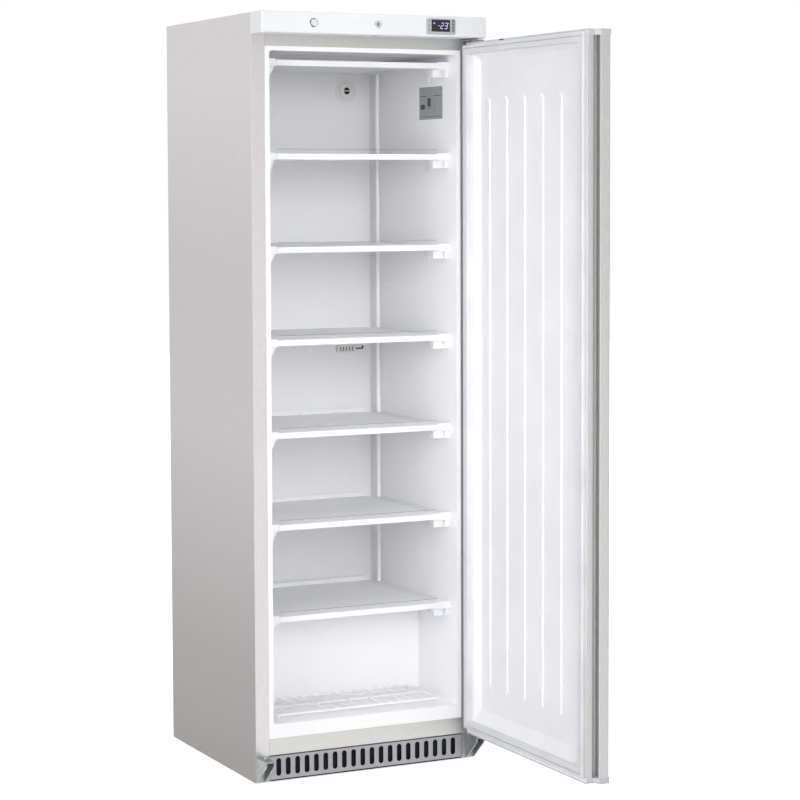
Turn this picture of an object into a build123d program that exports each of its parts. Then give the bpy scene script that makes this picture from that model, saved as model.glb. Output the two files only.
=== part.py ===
from build123d import *
import math
import os

# Upright freezer with one solid door, standing with the door open at a right angle.
# Millimetres. X runs across the front, Y from the front to the back, Z up.
# The pieces are drawn about the cabinet: X = 0 on its middle, Y = 0 on the plane that the
# door closes against, Z = 0 at the lower edge of the sheet metal. The door is drawn closed
# and turned open about its hinge pins. At the end everything is moved so that the origin
# is under the middle of the open freezer, on the floor.

# ---------------------------------------------------------------- driving dimensions
WIDTH = 600.0            # outside width of the cabinet
DEPTH = 560.0            # cabinet without the door
HEIGHT = 1860.0          # lower edge of the panels to the top
SHEET = 1.0              # steel sheet
JAMB = 36.0              # width of the front return of a side panel
REAR_LIP = 20.0          # width of the rear return of a side panel

FLANGE = 12.0            # visible width of the liner's front flange at the sides and top
LINER_WALL = 1.5
FLOOR = 140.0            # floor of the food space
HEAD = 89.0              # from the ceiling of the food space to the top of the cabinet
REAR_FOAM = 60.0         # from the rear wall of the food space to the back of the cabinet
MOUTH_DEEP = 46.0        # depth of the narrower mouth of the food space
MOUTH_STEP = 1.5         # how much narrower it is on each side
STEP_DEEP = 281.0        # depth of the step over the compressor
STEP_TOP = 384.0
STEP_FOAM = 50.0         # insulation of that step

GRILLE_TOP = 62.0
STRIP_LOW = 65.0         # lower front strip, bottom and top edges
STRIP_LOW_TOP = 105.0

SHELVES = 7
SHELF_LOWEST = 395.5     # top of the lowest evaporator shelf
SHELF_HEAD = 19.5        # space over the highest one
SHELF_SIDE = 42.0        # from a shelf plate to the side wall
SHELF_FRONT = 46.0
SHELF_BACK = 60.0        # from a shelf plate to the rear wall
SHELF_THICK = 9.0
TRIM_HIGH = 14.5
TRIM_DEEP = 9.5
TRIM_OVER = 7.0          # how far a trim passes the end of its plate

DOOR_LOW = 69.5
DOOR_DROP = 60.5         # top of the door under the top of the cabinet
DOOR_INNER = 13.0        # inner face of the closed door in front of the cabinet
DOOR_THICK = 55.4
DOOR_LINER = 2.0
CAP_HIGH = 14.0
CAP_LIP = 4.0            # the end caps show this far beyond the door liner
GASKET_FREE = 13.0       # from the free edge of the door to the gasket
GASKET_HINGE = 4.0       # from the hinge edge of the door to the gasket
GASKET_WIDE = 23.0
GASKET_FOOT = 14.5       # from the lower edge of the door to the gasket
GASKET_HEAD = 6.5
GASKET_GAP = 0.5         # between the gasket and the closed cabinet

FASCIA_HIGH = 51.0       # height of the control fascia
FASCIA_WALL = 2.5

PIN_SIDE = 12.0          # hinge axis from the side of the cabinet
PIN_Y = -33.0
PIN_D = 8.0
PIN_FIT = 0.05           # radial running clearance of pin and bush
PLATE = 3.0              # hinge plate
HINGE_RISE = 3.5         # from the door to the upper hinge plate
HINGE_DROP = 5.5         # from the door to the lower hinge plate
SPARE_UNDER = 1.0        # the unused pin ends this far under the closed door liner
SPARE_ROOM = 2.5         # room round it in the free end of the closed door

FOOT_PROUD = 4.0         # the feet stand out this far below the panels
FOOT_STUD = 4.0          # radius of the threaded stud
FOOT_PAD = 15.0          # radius of the foot
FOOT_BOSS = 14.0         # top of the boss that carries the stud
FOOT_TRAVEL = 12.0
FOOT_INSET = 37.0
FIT = 0.3                # clearance between pieces that do not touch
DOOR_OPEN = 90.0         # angle at which the freezer is shown

half = WIDTH / 2
jamb_in = half - JAMB            # inner edge of the jamb
opening = jamb_in - FLANGE       # half width of the food space at its mouth
CEILING = HEIGHT - HEAD
REAR_WALL = DEPTH - REAR_FOAM
STEP_FRONT = REAR_WALL - STEP_DEEP
SHELF_PITCH = (CEILING - SHELF_HEAD - SHELF_LOWEST) / (SHELVES - 1)
SHELF_HALF = opening - SHELF_SIDE
SHELF_REAR = REAR_WALL - SHELF_BACK
TRIM_HALF = SHELF_HALF + TRIM_OVER
DOOR_TOP = HEIGHT - DOOR_DROP
DOOR_OUTER = DOOR_INNER + DOOR_THICK     # outer face of the closed door
FASCIA_DEEP = DOOR_OUTER                 # the fascia is flush with the closed door
FASCIA_LOW = HEIGHT - FASCIA_HIGH
GASKET_LOW = DOOR_LOW + GASKET_FOOT
GASKET_TOP = DOOR_TOP - GASKET_HEAD
PIN_X = half - PIN_SIDE
HINGE_TOP = DOOR_TOP + HINGE_RISE        # underside of the upper hinge plate
HINGE_LOW = DOOR_LOW - HINGE_DROP        # top of the lower hinge plate
SPARE_TOP = DOOR_LOW + CAP_LIP - SPARE_UNDER
parts = {}


# ---------------------------------------------------------------- helpers
def keep(name, shape):
    """Store one sub-part under the name of its file."""
    parts[name] = shape


def polygon(points):
    return make_face(Polyline(*points, close=True))


def up(points, low, high):
    """A plan outline (x, y) raised from one height to another."""
    return extrude(Pos(0, 0, low) * polygon(points), amount=high - low, dir=(0, 0, 1))


def across(points, left, right):
    """A side outline (y, z) carried from left to right."""
    face = Plane.YZ.offset(left) * polygon(points)
    return extrude(face, amount=right - left, dir=(1, 0, 0))


def back(face, front, rear):
    """A front view (x, z) carried from front to rear."""
    return extrude(Plane.XZ.offset(-front) * face, amount=rear - front, dir=(0, 1, 0))


def slab(x0, x1, y0, y1, z0, z1):
    return Pos((x0 + x1) / 2, (y0 + y1) / 2, (z0 + z1) / 2) * Box(x1 - x0, y1 - y0, z1 - z0)


def post(x, y, z0, z1, radius):
    return Pos(x, y, (z0 + z1) / 2) * Cylinder(radius, z1 - z0)


def rod_y(x, z, y0, y1, radius):
    return Pos(x, (y0 + y1) / 2, z) * Rot(90, 0, 0) * Cylinder(radius, y1 - y0)


def rod_x(y, z, x0, x1, radius):
    return Pos((x0 + x1) / 2, y, z) * Rot(0, 90, 0) * Cylinder(radius, x1 - x0)


def upright(shape, x, y, reach=0.6):
    """The vertical edges of a shape that stand near a place in plan."""
    return [
        edge for edge in shape.edges().filter_by(Axis.Z)
        if abs(edge.center().X - x) < reach and abs(edge.center().Y - y) < reach
    ]


def mirrored(shape):
    return mirror(shape, about=Plane.YZ)


SIDES = 8                # bent wires and thin tubes are drawn with eight sides


def follow(path, radius):
    start = Plane(origin=path @ 0, z_dir=path % 0)
    return sweep(start * RegularPolygon(radius, SIDES), path=path)


def tube(points, radius, bend):
    """A bent tube through corner points, each corner rounded to the bend radius."""
    return follow(FilletPolyline(*points, radius=bend), radius)


def wire(x0, y0, z0, x1, y1, z1, radius):
    """A straight wire between two points."""
    return follow(Line((x0, y0, z0), (x1, y1, z1)), radius)


# ---------------------------------------------------------------- cabinet shell
def side_panel():
    """Left side, folded from one sheet: front jamb, side and rear return."""
    shape = up(
        [
            (-half, 0), (-jamb_in, 0), (-jamb_in, SHEET), (-half + SHEET, SHEET),
            (-half + SHEET, DEPTH - SHEET), (-half + REAR_LIP, DEPTH - SHEET),
            (-half + REAR_LIP, DEPTH), (-half, DEPTH),
        ],
        0, HEIGHT,
    )
    shape = fillet(upright(shape, -half, 0) + upright(shape, -half, DEPTH), 1.5)
    shape = fillet(upright(shape, -half + SHEET, SHEET), 0.5)
    return shape - slab(-half + SHEET, 0, -1, DEPTH + 1, top_under, HEIGHT + 1)


bay_front = STEP_FRONT + STEP_FOAM      # front wall of the compressor bay
bay_top = STEP_TOP - STEP_FOAM          # its ceiling
top_under = HEIGHT - SHEET - 0.2        # underside of the top sheet


def shell():
    left = side_panel()
    keep("side_panel_left", left)
    keep("side_panel_right", mirrored(left))
    inside = half - SHEET - FIT
    top = slab(-inside, inside, 0, DEPTH, top_under, HEIGHT)
    rear = half - REAR_LIP - FIT
    rear_fold = slab(-rear, rear, DEPTH - SHEET, DEPTH, top_under - 14, top_under)
    keep("top_panel", top + rear_fold)
    sheet = across(
        [
            (DEPTH, bay_top - SHEET), (DEPTH, top_under - 14 - FIT),
            (DEPTH - SHEET, top_under - 14 - FIT), (DEPTH - SHEET, bay_top),
            (bay_front, bay_top), (bay_front, STRIP_LOW + SHEET),
            (bay_front + SHEET, STRIP_LOW + SHEET), (bay_front + SHEET, bay_top - SHEET),
        ],
        -rear, rear,
    )
    keep("back_panel", sheet)
    strip_edge = jamb_in - 0.4
    upper = slab(-strip_edge, strip_edge, 0, SHEET, CEILING + FLANGE - 1, top_under)
    keep("front_strip_top", upper)
    lower = across(
        [
            (0, STRIP_LOW), (22, STRIP_LOW), (22, STRIP_LOW + SHEET),
            (SHEET, STRIP_LOW + SHEET), (SHEET, STRIP_LOW_TOP), (0, STRIP_LOW_TOP),
        ],
        -strip_edge, strip_edge,
    )
    keep("front_strip_bottom", lower)


# ---------------------------------------------------------------- liner and insulation
def food_space(grow, front):
    """The hollow of the liner, grown outwards on every wall. Its mouth is a little narrower."""
    wide = opening + grow
    low = FLOOR - grow
    high = CEILING + grow
    rear = REAR_WALL + grow
    middle = Pos(0, (low + high) / 2)
    space = back(middle * RectangleRounded(2 * wide, high - low, 8 + grow), front, rear)
    wide += MOUTH_STEP
    space += back(middle * RectangleRounded(2 * wide, high - low, 8 + grow),
                  MOUTH_DEEP - grow, rear)
    return space - slab(-wide - 1, wide + 1, STEP_FRONT + grow, rear + 1, low - 1, STEP_TOP - grow)


def liner_piece():
    face = Pos(0, (STRIP_LOW_TOP + CEILING + FLANGE - 1) / 2) * Rectangle(
        2 * (jamb_in - 0.4), CEILING + FLANGE - 1 - STRIP_LOW_TOP - 0.8)
    flange = back(face, 0, LINER_WALL)
    return flange + food_space(LINER_WALL, 0) - food_space(0, -1)


def insulation():
    """Foam between shell and liner, in blocks that meet at the corners of the food space."""
    wide = half - SHEET
    low = STRIP_LOW + SHEET
    front = LINER_WALL
    rear = DEPTH - SHEET
    inner = opening + MOUTH_STEP + LINER_WALL
    behind = REAR_WALL + LINER_WALL
    step = STEP_FRONT + LINER_WALL
    step_top = STEP_TOP - LINER_WALL
    ceiling = CEILING + LINER_WALL
    upper = slab(-wide, -inner, front, rear, bay_top, top_under)
    lower = slab(-wide, -inner, front, bay_front, low, bay_top)
    blocks = [
        upper,
        lower,
        mirrored(upper),
        mirrored(lower),
        slab(-inner, inner, front, rear, ceiling, top_under),
        slab(-inner, inner, behind, rear, bay_top, ceiling),
        slab(-inner, inner, front, step, low, FLOOR - LINER_WALL),
        slab(-inner, inner, step, bay_front, low, step_top),
        slab(-inner, inner, bay_front, behind, bay_top, step_top),
    ]
    keep("insulation", Compound(blocks))


# ---------------------------------------------------------------- evaporator shelves
def shelf_heights():
    return [SHELF_LOWEST + level * SHELF_PITCH for level in range(SHELVES)]


RISER_X = opening - 11.0
RISER_Y = SHELF_REAR - 12.0
RISER_R = 5.5
LIP_HIGH = 11.0
LIP_THICK = 3.0


def shelf_plate(top):
    """A refrigerated shelf: flat closed panel with an upturned, notched rear lip."""
    plate = slab(-SHELF_HALF, SHELF_HALF, SHELF_FRONT, SHELF_REAR, top - SHELF_THICK, top)
    plate = chamfer(plate.edges().group_by(Axis.Z)[-1].filter_by(Axis.Y), 1.5)
    lip = slab(-SHELF_HALF, SHELF_HALF - 6, SHELF_REAR - LIP_THICK, SHELF_REAR, top, top + LIP_HIGH)
    notch_width = 14.0
    for place in (-95.0, 5.0, 105.0):
        lip -= slab(place, place + notch_width, SHELF_REAR - LIP_THICK - 1, SHELF_REAR + 1,
                    top, top + 4)
    return plate + lip


def shelf_trim(top):
    """Front trim: a shallow channel that clips over the edge of the plate."""
    rear = SHELF_FRONT - FIT
    front = rear - TRIM_DEEP
    wall = 1.6
    shape = across(
        [
            (front, top - TRIM_HIGH), (rear, top - TRIM_HIGH),
            (rear, top - TRIM_HIGH + wall), (front + wall, top - TRIM_HIGH + wall),
            (front + wall, top - wall), (rear, top - wall), (rear, top), (front, top),
        ],
        -TRIM_HALF, TRIM_HALF,
    )
    nose = [e for e in shape.edges().filter_by(Axis.X) if abs(e.center().Y - front) < 0.1]
    return fillet(nose, 1.5)


BLOCK_LIP = 2.5          # top of the front block over the shelf
BLOCK_NECK = 15.5        # where the head of the block ends
BLOCK_HIGH = 35.0        # its lower end under the shelf
BLOCK_BACK = 14.0
RIB_PLACE = 150.0        # hanging rib behind the block


def shelf_support(top, pocketed):
    """Support on the right wall: moulded rail, front block and a hanging rib."""
    wall = opening + MOUTH_STEP
    ledge = 2.2
    lift = top - SHELF_THICK - ledge
    seat = SHELF_HALF + FIT
    rail = back(
        polygon([
            (wall, lift), (seat - 14, lift), (seat - 14, lift + ledge - FIT),
            (seat, lift + ledge - FIT), (seat, top - 2.0), (wall, top - 2.0),
        ]),
        SHELF_FRONT, SHELF_REAR - 4,
    )
    rim = opening - FIT
    edge = TRIM_HALF + FIT
    rear = SHELF_FRONT + BLOCK_BACK
    neck = top - BLOCK_NECK
    low = top - BLOCK_HIGH
    head = polygon([
        (rim, top + BLOCK_LIP), (edge + 3, top + BLOCK_LIP), (edge, top - 0.5), (edge, neck),
        (rim, neck),
    ])
    block = back(head, SHELF_FRONT - 9, rear)
    if pocketed:
        foot = [(wall, neck + 2), (edge, neck + 2), (edge, neck), (seat, neck), (seat, low),
                (wall, low)]
    else:
        foot = [(wall, neck + 2), (edge, neck + 2), (edge + 2, neck), (opening - 25, low),
                (wall, low)]
    block += back(polygon(foot), SHELF_FRONT, rear)
    if pocketed:
        block -= slab(opening - 20.5, opening - 9, SHELF_FRONT - 1, SHELF_FRONT + 8,
                      low + 2, neck - 2.5)
    rib = polygon([
        (wall, lift + 1), (opening - 9, lift + 1), (opening - 6, top - 30),
        (opening - 2, top - 44), (wall, top - 44),
    ])
    return rail + block + back(rib, RIB_PLACE, RIB_PLACE + 3)


def evaporator():
    tops = shelf_heights()
    left = [mirrored(shelf_support(top, False)) for top in tops]
    right = [shelf_support(top, True) for top in tops]
    for count, top in enumerate(tops, start=1):
        keep(f"evaporator_shelf_{count}", shelf_plate(top))
    keep("shelf_trims", Compound([shelf_trim(top) for top in tops]))
    # the riser passes the right-hand rails in a clearance hole
    relief = post(RISER_X, RISER_Y, tops[0] - 30, tops[-1], RISER_R + FIT)
    stub_z = [top - SHELF_THICK / 2 for top in tops]
    stub_cut = [stub(z, FIT) for z in stub_z]
    right = [support - relief - cut for support, cut in zip(right, stub_cut)]
    keep("shelf_supports", Compound(left + right))
    riser = post(RISER_X, RISER_Y, stub_z[0] - 4, stub_z[-1] + 4, RISER_R)
    for z in stub_z:
        riser += stub(z, 0)
    keep("evaporator_riser", riser)


def stub(z, grow):
    """Flattened end of a shelf's channel, brazed to the riser."""
    return slab(SHELF_HALF + 0.05, RISER_X, RISER_Y - 4 - grow, RISER_Y + 4 + grow,
                z - 2.5 - grow, z + 2.5 + grow)


# ---------------------------------------------------------------- wire rack on the floor
RACK_HALF = opening - 26.0
RACK_FRONT = 38.0
RACK_REAR = STEP_FRONT - 5.0
RACK_WIRE = 2.4          # radius of the frame wires
RACK_THIN = 1.4          # radius of the infill wires
RACK_TOP = FLOOR + 17.0
RACK_WIRES = 15


def rack():
    """Removable floor rack: bent frame wire, one middle bar and a row of thin wires."""
    z = RACK_TOP - 2 * RACK_THIN - RACK_WIRE
    inner = RACK_HALF - RACK_WIRE
    front = RACK_FRONT + RACK_WIRE
    rear = RACK_REAR - RACK_WIRE
    corner = 14.0
    outline = RectangleRounded(2 * inner, rear - front, corner).wire()
    body = Pos(0, (front + rear) / 2, z) * follow(outline, RACK_WIRE)
    middle = (front + rear) / 2
    body += wire(-inner, middle, z, inner, middle, z, RACK_WIRE)
    pitch = 2 * (inner - corner) / (RACK_WIRES - 1)
    lift = z + RACK_WIRE + 0.5 * RACK_THIN
    for number in range(RACK_WIRES):
        x = -inner + corner + number * pitch
        body += wire(x, front - 1.5, lift, x, rear + 1.5, lift, RACK_THIN)
    bow = corner * (1 - math.sqrt(0.5))      # the legs stand at the middle of the corners
    for x in (-inner + bow, inner - bow):
        for y in (front + bow, rear - bow):
            body += wire(x, y, FLOOR + FIT, x, y, z, RACK_WIRE)
    return body


# ---------------------------------------------------------------- fittings on the walls
def wall_fittings():
    wall = REAR_WALL
    x, z = opening - 69.0, CEILING - 72.0
    valve = rod_y(x, z, wall - 3, wall, 30) + rod_y(x, z, wall - 9, wall - 3, 22)
    rims = valve.edges().filter_by(GeomType.CIRCLE).group_by(Axis.Y)
    valve = chamfer(rims[0], 2.5)
    valve -= rod_y(x, z, wall - 10, wall - 3, 9.5)
    valve += slab(x - 9.8, x + 9.8, wall - 8, wall - 5, z - 1.2, z + 1.2)
    keep("pressure_valve", valve)
    x0, x1 = opening - 102.0, opening - 48.0
    z0 = shelf_heights()[3] - 69.5       # under the fourth shelf
    holder = slab(x0, x1, wall - 12, wall, z0, z0 + 18)
    holder = fillet(holder.edges().filter_by(Axis.Y), 4.0)
    holder -= slab(x0 + 2.5, x1 - 2.5, wall - 9.5, wall - 1, z0 + 2.5, z0 + 15.5)
    for number in range(5):
        left = x0 + 8 + number * 8.6
        slot = back(Pos(left + 1.7, z0 + 9) * SlotOverall(12, 3.4, rotation=90),
                    wall - 13, wall - 8)
        holder -= slot
    holder -= rod_x(wall - 5.5, z0 + 9, x1 - 3, x1 + 1, 3.3)
    keep("probe_holder", holder)
    bulb = rod_x(wall - 5.5, z0 + 9, x1 - 40, x1 + 2, 3.0)
    lead = tube([(x1 + 2, wall - 5.5, z0 + 9), (x1 + 24, wall - 5.5, z0 + 9),
                 (x1 + 24, wall - 1.5, z0 + 16)], 1.8, 4.0)
    keep("temperature_probe", bulb + lead)


# ---------------------------------------------------------------- compressor bay
PAN_LOW = 2.0
PAN_TOP = PAN_LOW + 1.5
PAN_RISE = 18.0
PAN_LIP = 0.2            # lower edge of its dark front lip
COMP_X = 118.0
COMP_Y = DEPTH - 135.0
COMP_LOW = 22.0
COMP_HIGH = 165.0
COMP_LONG = 88.0
COMP_WIDE = 74.0
GLAND_X = -half + 50.0
GLAND_Z = 40.0


def machinery():
    wide = half - SHEET - FIT
    pan = slab(-wide, wide, 4, DEPTH - 2, PAN_LOW, PAN_TOP)
    pan += slab(-wide, wide, 3, 4.5, PAN_LIP, PAN_TOP)
    for x in (-wide, wide - 1.5):
        pan += slab(x, x + 1.5, 20, DEPTH - 2, PAN_LOW, PAN_LOW + PAN_RISE)
    pan += slab(-wide, wide, DEPTH - 3.5, DEPTH - 2, PAN_LOW, PAN_LOW + PAN_RISE)
    pan += slab(GLAND_X - 18, GLAND_X + 18, DEPTH - 3.5, DEPTH - 2, PAN_LOW, 60)
    pan -= rod_y(GLAND_X, GLAND_Z, DEPTH - 5, DEPTH, 7 + FIT / 2)
    for x, y in foot_places():
        pan += post(x, y, PAN_TOP, FOOT_BOSS, 11)
        pan -= post(x, y, PAN_LOW - 1, FOOT_BOSS + 1, FOOT_STUD + FIT)
    keep("base_pan", pan)
    cups = [(COMP_X + dx, COMP_Y + dy) for dx in (-75, 75) for dy in (-55, 55)]
    keep("compressor_mounts", Compound([post(x, y, PAN_TOP, COMP_LOW - 4, 10) for x, y in cups]))
    keep("compressor", compressor())
    relay = slab(COMP_X - 124, COMP_X - 78, COMP_Y - 28, COMP_Y + 28, 55, 118)
    relay = fillet(relay.edges().group_by(Axis.X)[0], 6)
    keep("relay_cover", relay - parts["compressor"])
    keep("condenser", condenser())
    pipes()
    gland = rod_y(GLAND_X, GLAND_Z, DEPTH - 14, DEPTH - 1, 7)
    gland += rod_y(GLAND_X, GLAND_Z, DEPTH - 2, DEPTH - 0.4, 10)
    keep("cord_gland", gland - rod_y(GLAND_X, GLAND_Z, DEPTH - 15, DEPTH + 1, 4))


def compressor():
    """Sealed compressor: two drawn half shells with a welded seam on a foot plate."""
    seam = COMP_LOW + 0.5 * COMP_HIGH
    wide, deep = 2 * COMP_LONG, 2 * COMP_WIDE
    plan = Pos(COMP_X, COMP_Y) * RectangleRounded(wide, deep, COMP_WIDE - 4)
    upper_plan = Pos(COMP_X, COMP_Y) * RectangleRounded(wide - 6, deep - 6, COMP_WIDE - 7)
    lower = extrude(Pos(0, 0, COMP_LOW) * plan, amount=0.5 * COMP_HIGH)
    lower = chamfer(lower.edges().group_by(Axis.Z)[0], 14)
    upper = extrude(Pos(0, 0, seam) * upper_plan, amount=0.5 * COMP_HIGH)
    upper = chamfer(upper.edges().group_by(Axis.Z)[-1], 24)
    foot = extrude(Pos(COMP_X, COMP_Y, COMP_LOW - 4) * RectangleRounded(176, 136, 14), amount=5)
    return lower + upper + foot


COND_LEFT = -half + 65.0
COND_RIGHT = COND_LEFT + 150.0
COND_FRONT = DEPTH - 230.0
COND_REAR = DEPTH - 40.0
COND_LOW = 34.0
COND_HIGH = 120.0
COND_FINS = 12


def condenser():
    """Fin block between two end plates, scored across its faces by the gaps of the fins."""
    z1 = COND_LOW + COND_HIGH
    block = slab(COND_LEFT, COND_RIGHT, COND_FRONT, COND_REAR, COND_LOW, z1)
    pitch = (COND_RIGHT - COND_LEFT) / COND_FINS
    for number in range(COND_FINS):
        x = COND_LEFT + pitch * (number + 0.5)
        block -= slab(x - 0.3 * pitch, x + 0.3 * pitch, COND_REAR - 25, COND_REAR + 1,
                      COND_LOW - 1, z1 + 1)
    for x in (COND_LEFT - 1.5, COND_RIGHT):
        block += slab(x, x + 1.5, COND_FRONT - 5, COND_REAR + 5, PAN_TOP, z1 + 5)
    return block


def pipes():
    roof = COMP_LOW + COMP_HIGH + 0.05
    wall = bay_front + SHEET + 0.05
    start = COND_RIGHT + 1.5 + 0.05
    deck = COND_LOW + COND_HIGH * 0.875
    hot = tube([(start, COND_REAR - 20, deck), (start + 34, COND_REAR - 20, deck),
                (start + 34, COND_REAR - 20, 215), (COMP_X - 20, COND_REAR - 20, 215),
                (COMP_X - 20, COMP_Y + 10, 215), (COMP_X - 20, COMP_Y + 10, roof)], 3.2, 12)
    y_front = COND_FRONT + 16
    drier_x = start + 52
    drier = post(drier_x, y_front, 110, 172, 9)
    drier = chamfer(drier.edges().filter_by(GeomType.CIRCLE), 5)
    keep("filter_drier", drier)
    inlet = tube([(start, y_front, deck), (start + 26, y_front, deck),
                  (start + 26, y_front, 86), (drier_x, y_front, 86),
                  (drier_x, y_front, 109.95)], 3.0, 8)
    outlet = tube([(drier_x, y_front, 172.05), (drier_x, y_front, 250),
                   (drier_x, wall, 250)], 2.2, 14)
    suction = tube([(COMP_X + 25, COMP_Y - 10, roof), (COMP_X + 25, COMP_Y - 10, 262),
                    (COMP_X + 25, wall, 262)], 4.2, 16)
    keep("refrigerant_pipes", Compound([hot, inlet, outlet, suction]))


# ---------------------------------------------------------------- feet and grille
def foot_places():
    side = half - FOOT_INSET
    rows = (FOOT_INSET, DEPTH - FOOT_INSET)
    return [(sign * side, y) for y in rows for sign in (-1, 1)]


def feet():
    names = ("front_left", "front_right", "rear_left", "rear_right")
    for name, (x, y) in zip(names, foot_places()):
        profile = make_face(Polyline(
            (0, -FOOT_PROUD), (FOOT_PAD - 1.5, -FOOT_PROUD), (FOOT_PAD, -FOOT_PROUD + 1.5),
            (FOOT_PAD, PAN_LOW - FIT), (FOOT_STUD, PAN_LOW - FIT), (FOOT_STUD, 42), (0, 42),
            close=True))
        turned = revolve(Plane.XZ * profile, Axis.Z)
        keep("foot_" + name, Pos(x, y, 0) * turned)


SLOTS = 20
SLOT_MARGIN = 17.1       # from the last slot to the end of the grille
SLOT_LOW = 12.8
SLOT_HIGH = GRILLE_TOP - 5.7
SLOT_WIDE = 13.0


def grille():
    """Front grille: a folded plate with a row of upright slots."""
    edge = jamb_in - 1.0
    shape = across(
        [
            (0, PAN_TOP + FIT), (16, PAN_TOP + FIT), (16, PAN_TOP + FIT + 1.2),
            (1.2, PAN_TOP + FIT + 1.2),
            (1.2, GRILLE_TOP - 1.2), (16, GRILLE_TOP - 1.2), (16, GRILLE_TOP), (0, GRILLE_TOP),
        ],
        -edge, edge,
    )
    face = SlotOverall(SLOT_HIGH - SLOT_LOW, SLOT_WIDE, rotation=90)
    pitch = 2 * (edge - SLOT_MARGIN - SLOT_WIDE / 2) / (SLOTS - 1)
    cutter = [
        back(Pos((n - (SLOTS - 1) / 2) * pitch, (SLOT_LOW + SLOT_HIGH) / 2) * face, -1, 3)
        for n in range(SLOTS)
    ]
    keep("grille", shape - cutter)


# ---------------------------------------------------------------- hinges
def lower_bracket():
    """Right lower hinge bracket: top plate between two tapering gussets."""
    outer = half - 1.5
    inner = PIN_X - 13
    reach = 60.0
    gusset = [(0, 3), (-5, 3), (-reach, HINGE_LOW - 12), (-reach, HINGE_LOW), (0, HINGE_LOW)]
    body = across(gusset, outer - PLATE, outer) + across(gusset, inner, inner + PLATE)
    body += slab(inner, outer, -reach + 1, 0, HINGE_LOW - PLATE, HINGE_LOW)
    body += slab(jamb_in + 1, outer, -PLATE, 0, 3, HINGE_LOW)
    body -= post(PIN_X, PIN_Y, HINGE_LOW - 5, HINGE_LOW + 1, PIN_D / 2 + PIN_FIT)
    return body


def pin(low, high, head_low, head_high):
    return post(PIN_X, PIN_Y, low, high, PIN_D / 2) + post(PIN_X, PIN_Y, head_low, head_high, 6.5)


def hinges():
    right = lower_bracket()
    keep("hinge_bracket_bottom", right)
    keep("hinge_bracket_spare", mirrored(right))
    low_pin = pin(HINGE_LOW - PLATE, DOOR_LOW + 12, HINGE_LOW - PLATE - 4, HINGE_LOW - PLATE)
    spare = pin(HINGE_LOW - PLATE, SPARE_TOP, HINGE_LOW - PLATE - 4, HINGE_LOW - PLATE)
    top_pin = pin(DOOR_TOP - 12, HINGE_TOP + PLATE, HINGE_TOP + PLATE, HINGE_TOP + PLATE + 2.5)
    keep("hinge_pins", Compound([low_pin, mirrored(spare), top_pin]))
    z0, z1 = HINGE_TOP, HINGE_TOP + PLATE
    outline = [(jamb_in - 2, -0.0), (jamb_in - 2, -14), (PIN_X - 12, -52), (PIN_X - 4, -61),
               (half - 2, -61), (half - 2, 0)]
    upper = up(outline, z0, z1)
    upper += slab(jamb_in - 2, half - 2, -PLATE, 0, GASKET_TOP + 1.5, z1)
    web = across([(0, GASKET_TOP + 1.5), (-PLATE, GASKET_TOP + 1.5), (-10, z0), (0, z0)],
                 half - 2 - PLATE, half - 2)
    upper += web
    upper -= post(PIN_X, PIN_Y, z0 - 1, z1 + 1, PIN_D / 2 + PIN_FIT)
    keep("hinge_bracket_top", upper)


# ---------------------------------------------------------------- fascia and controls
BUTTON_X = -165.0
LOCK_X = 4.0
CONTROL_Z = (FASCIA_LOW + HEIGHT) / 2
BEZEL_X = 174.0
BEZEL_WIDE = 79.0
BEZEL_HIGH = 38.5
BEZEL_Z = FASCIA_LOW + 24.8
BOLT_Y = -49.0
BOLT_TRAVEL = 12.0
BOLT_HALF = 5.0
BOLT_THICK = 5.0
PINION = BOLT_TRAVEL / (math.pi / 2)     # pitch radius: a quarter turn throws the bolt
WINDOW_WIDE = 51.0
WINDOW_HIGH = 29.0
KEYS = 4


def fascia():
    block = slab(-half, half, -FASCIA_DEEP, 0, FASCIA_LOW, HEIGHT)
    front = block.edges().group_by(Axis.Y)[0]
    block = fillet(front, 4.0)
    hollow = slab(-half + FASCIA_WALL, half - FASCIA_WALL, -FASCIA_DEEP + FASCIA_WALL, 1,
                  FASCIA_LOW + FASCIA_WALL, HEIGHT - FASCIA_WALL)
    block -= hollow
    block -= rod_y(BUTTON_X, CONTROL_Z, -FASCIA_DEEP - 1, -FASCIA_DEEP + 5, 9.5 + FIT)
    block -= rod_y(LOCK_X, CONTROL_Z, -FASCIA_DEEP - 1, -FASCIA_DEEP + 5, 8.0 + FIT)
    block -= slab(BEZEL_X - 35.5 - FIT, BEZEL_X + 35.5 + FIT, -FASCIA_DEEP - 1, -FASCIA_DEEP + 5,
                  BEZEL_Z - 14.5 - FIT, BEZEL_Z + 14.5 + FIT)
    block -= slab(LOCK_X - BOLT_HALF - FIT, LOCK_X + BOLT_HALF + FIT,
                  BOLT_Y - BOLT_THICK / 2 - FIT, BOLT_Y + BOLT_THICK / 2 + FIT,
                  FASCIA_LOW - 1, FASCIA_LOW + FASCIA_WALL + 1)
    keep("fascia", block)


def controls():
    face = -FASCIA_DEEP
    ring = rod_y(BUTTON_X, CONTROL_Z, face - 1.6, face, 11)
    ring = chamfer(ring.edges().filter_by(GeomType.CIRCLE).group_by(Axis.Y)[0], 0.8)
    ring += rod_y(BUTTON_X, CONTROL_Z, face, face + 16, 9.5)
    ring -= rod_y(BUTTON_X, CONTROL_Z, face - 3, face + 12, 8.0)
    keep("button_ring", ring)
    cap = rod_y(BUTTON_X, CONTROL_Z, face - 2.6, face + 8, 8.0 - FIT)
    keep("power_button", chamfer(cap.edges().filter_by(GeomType.CIRCLE).group_by(Axis.Y)[0], 0.8))
    lock()
    display()


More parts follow.
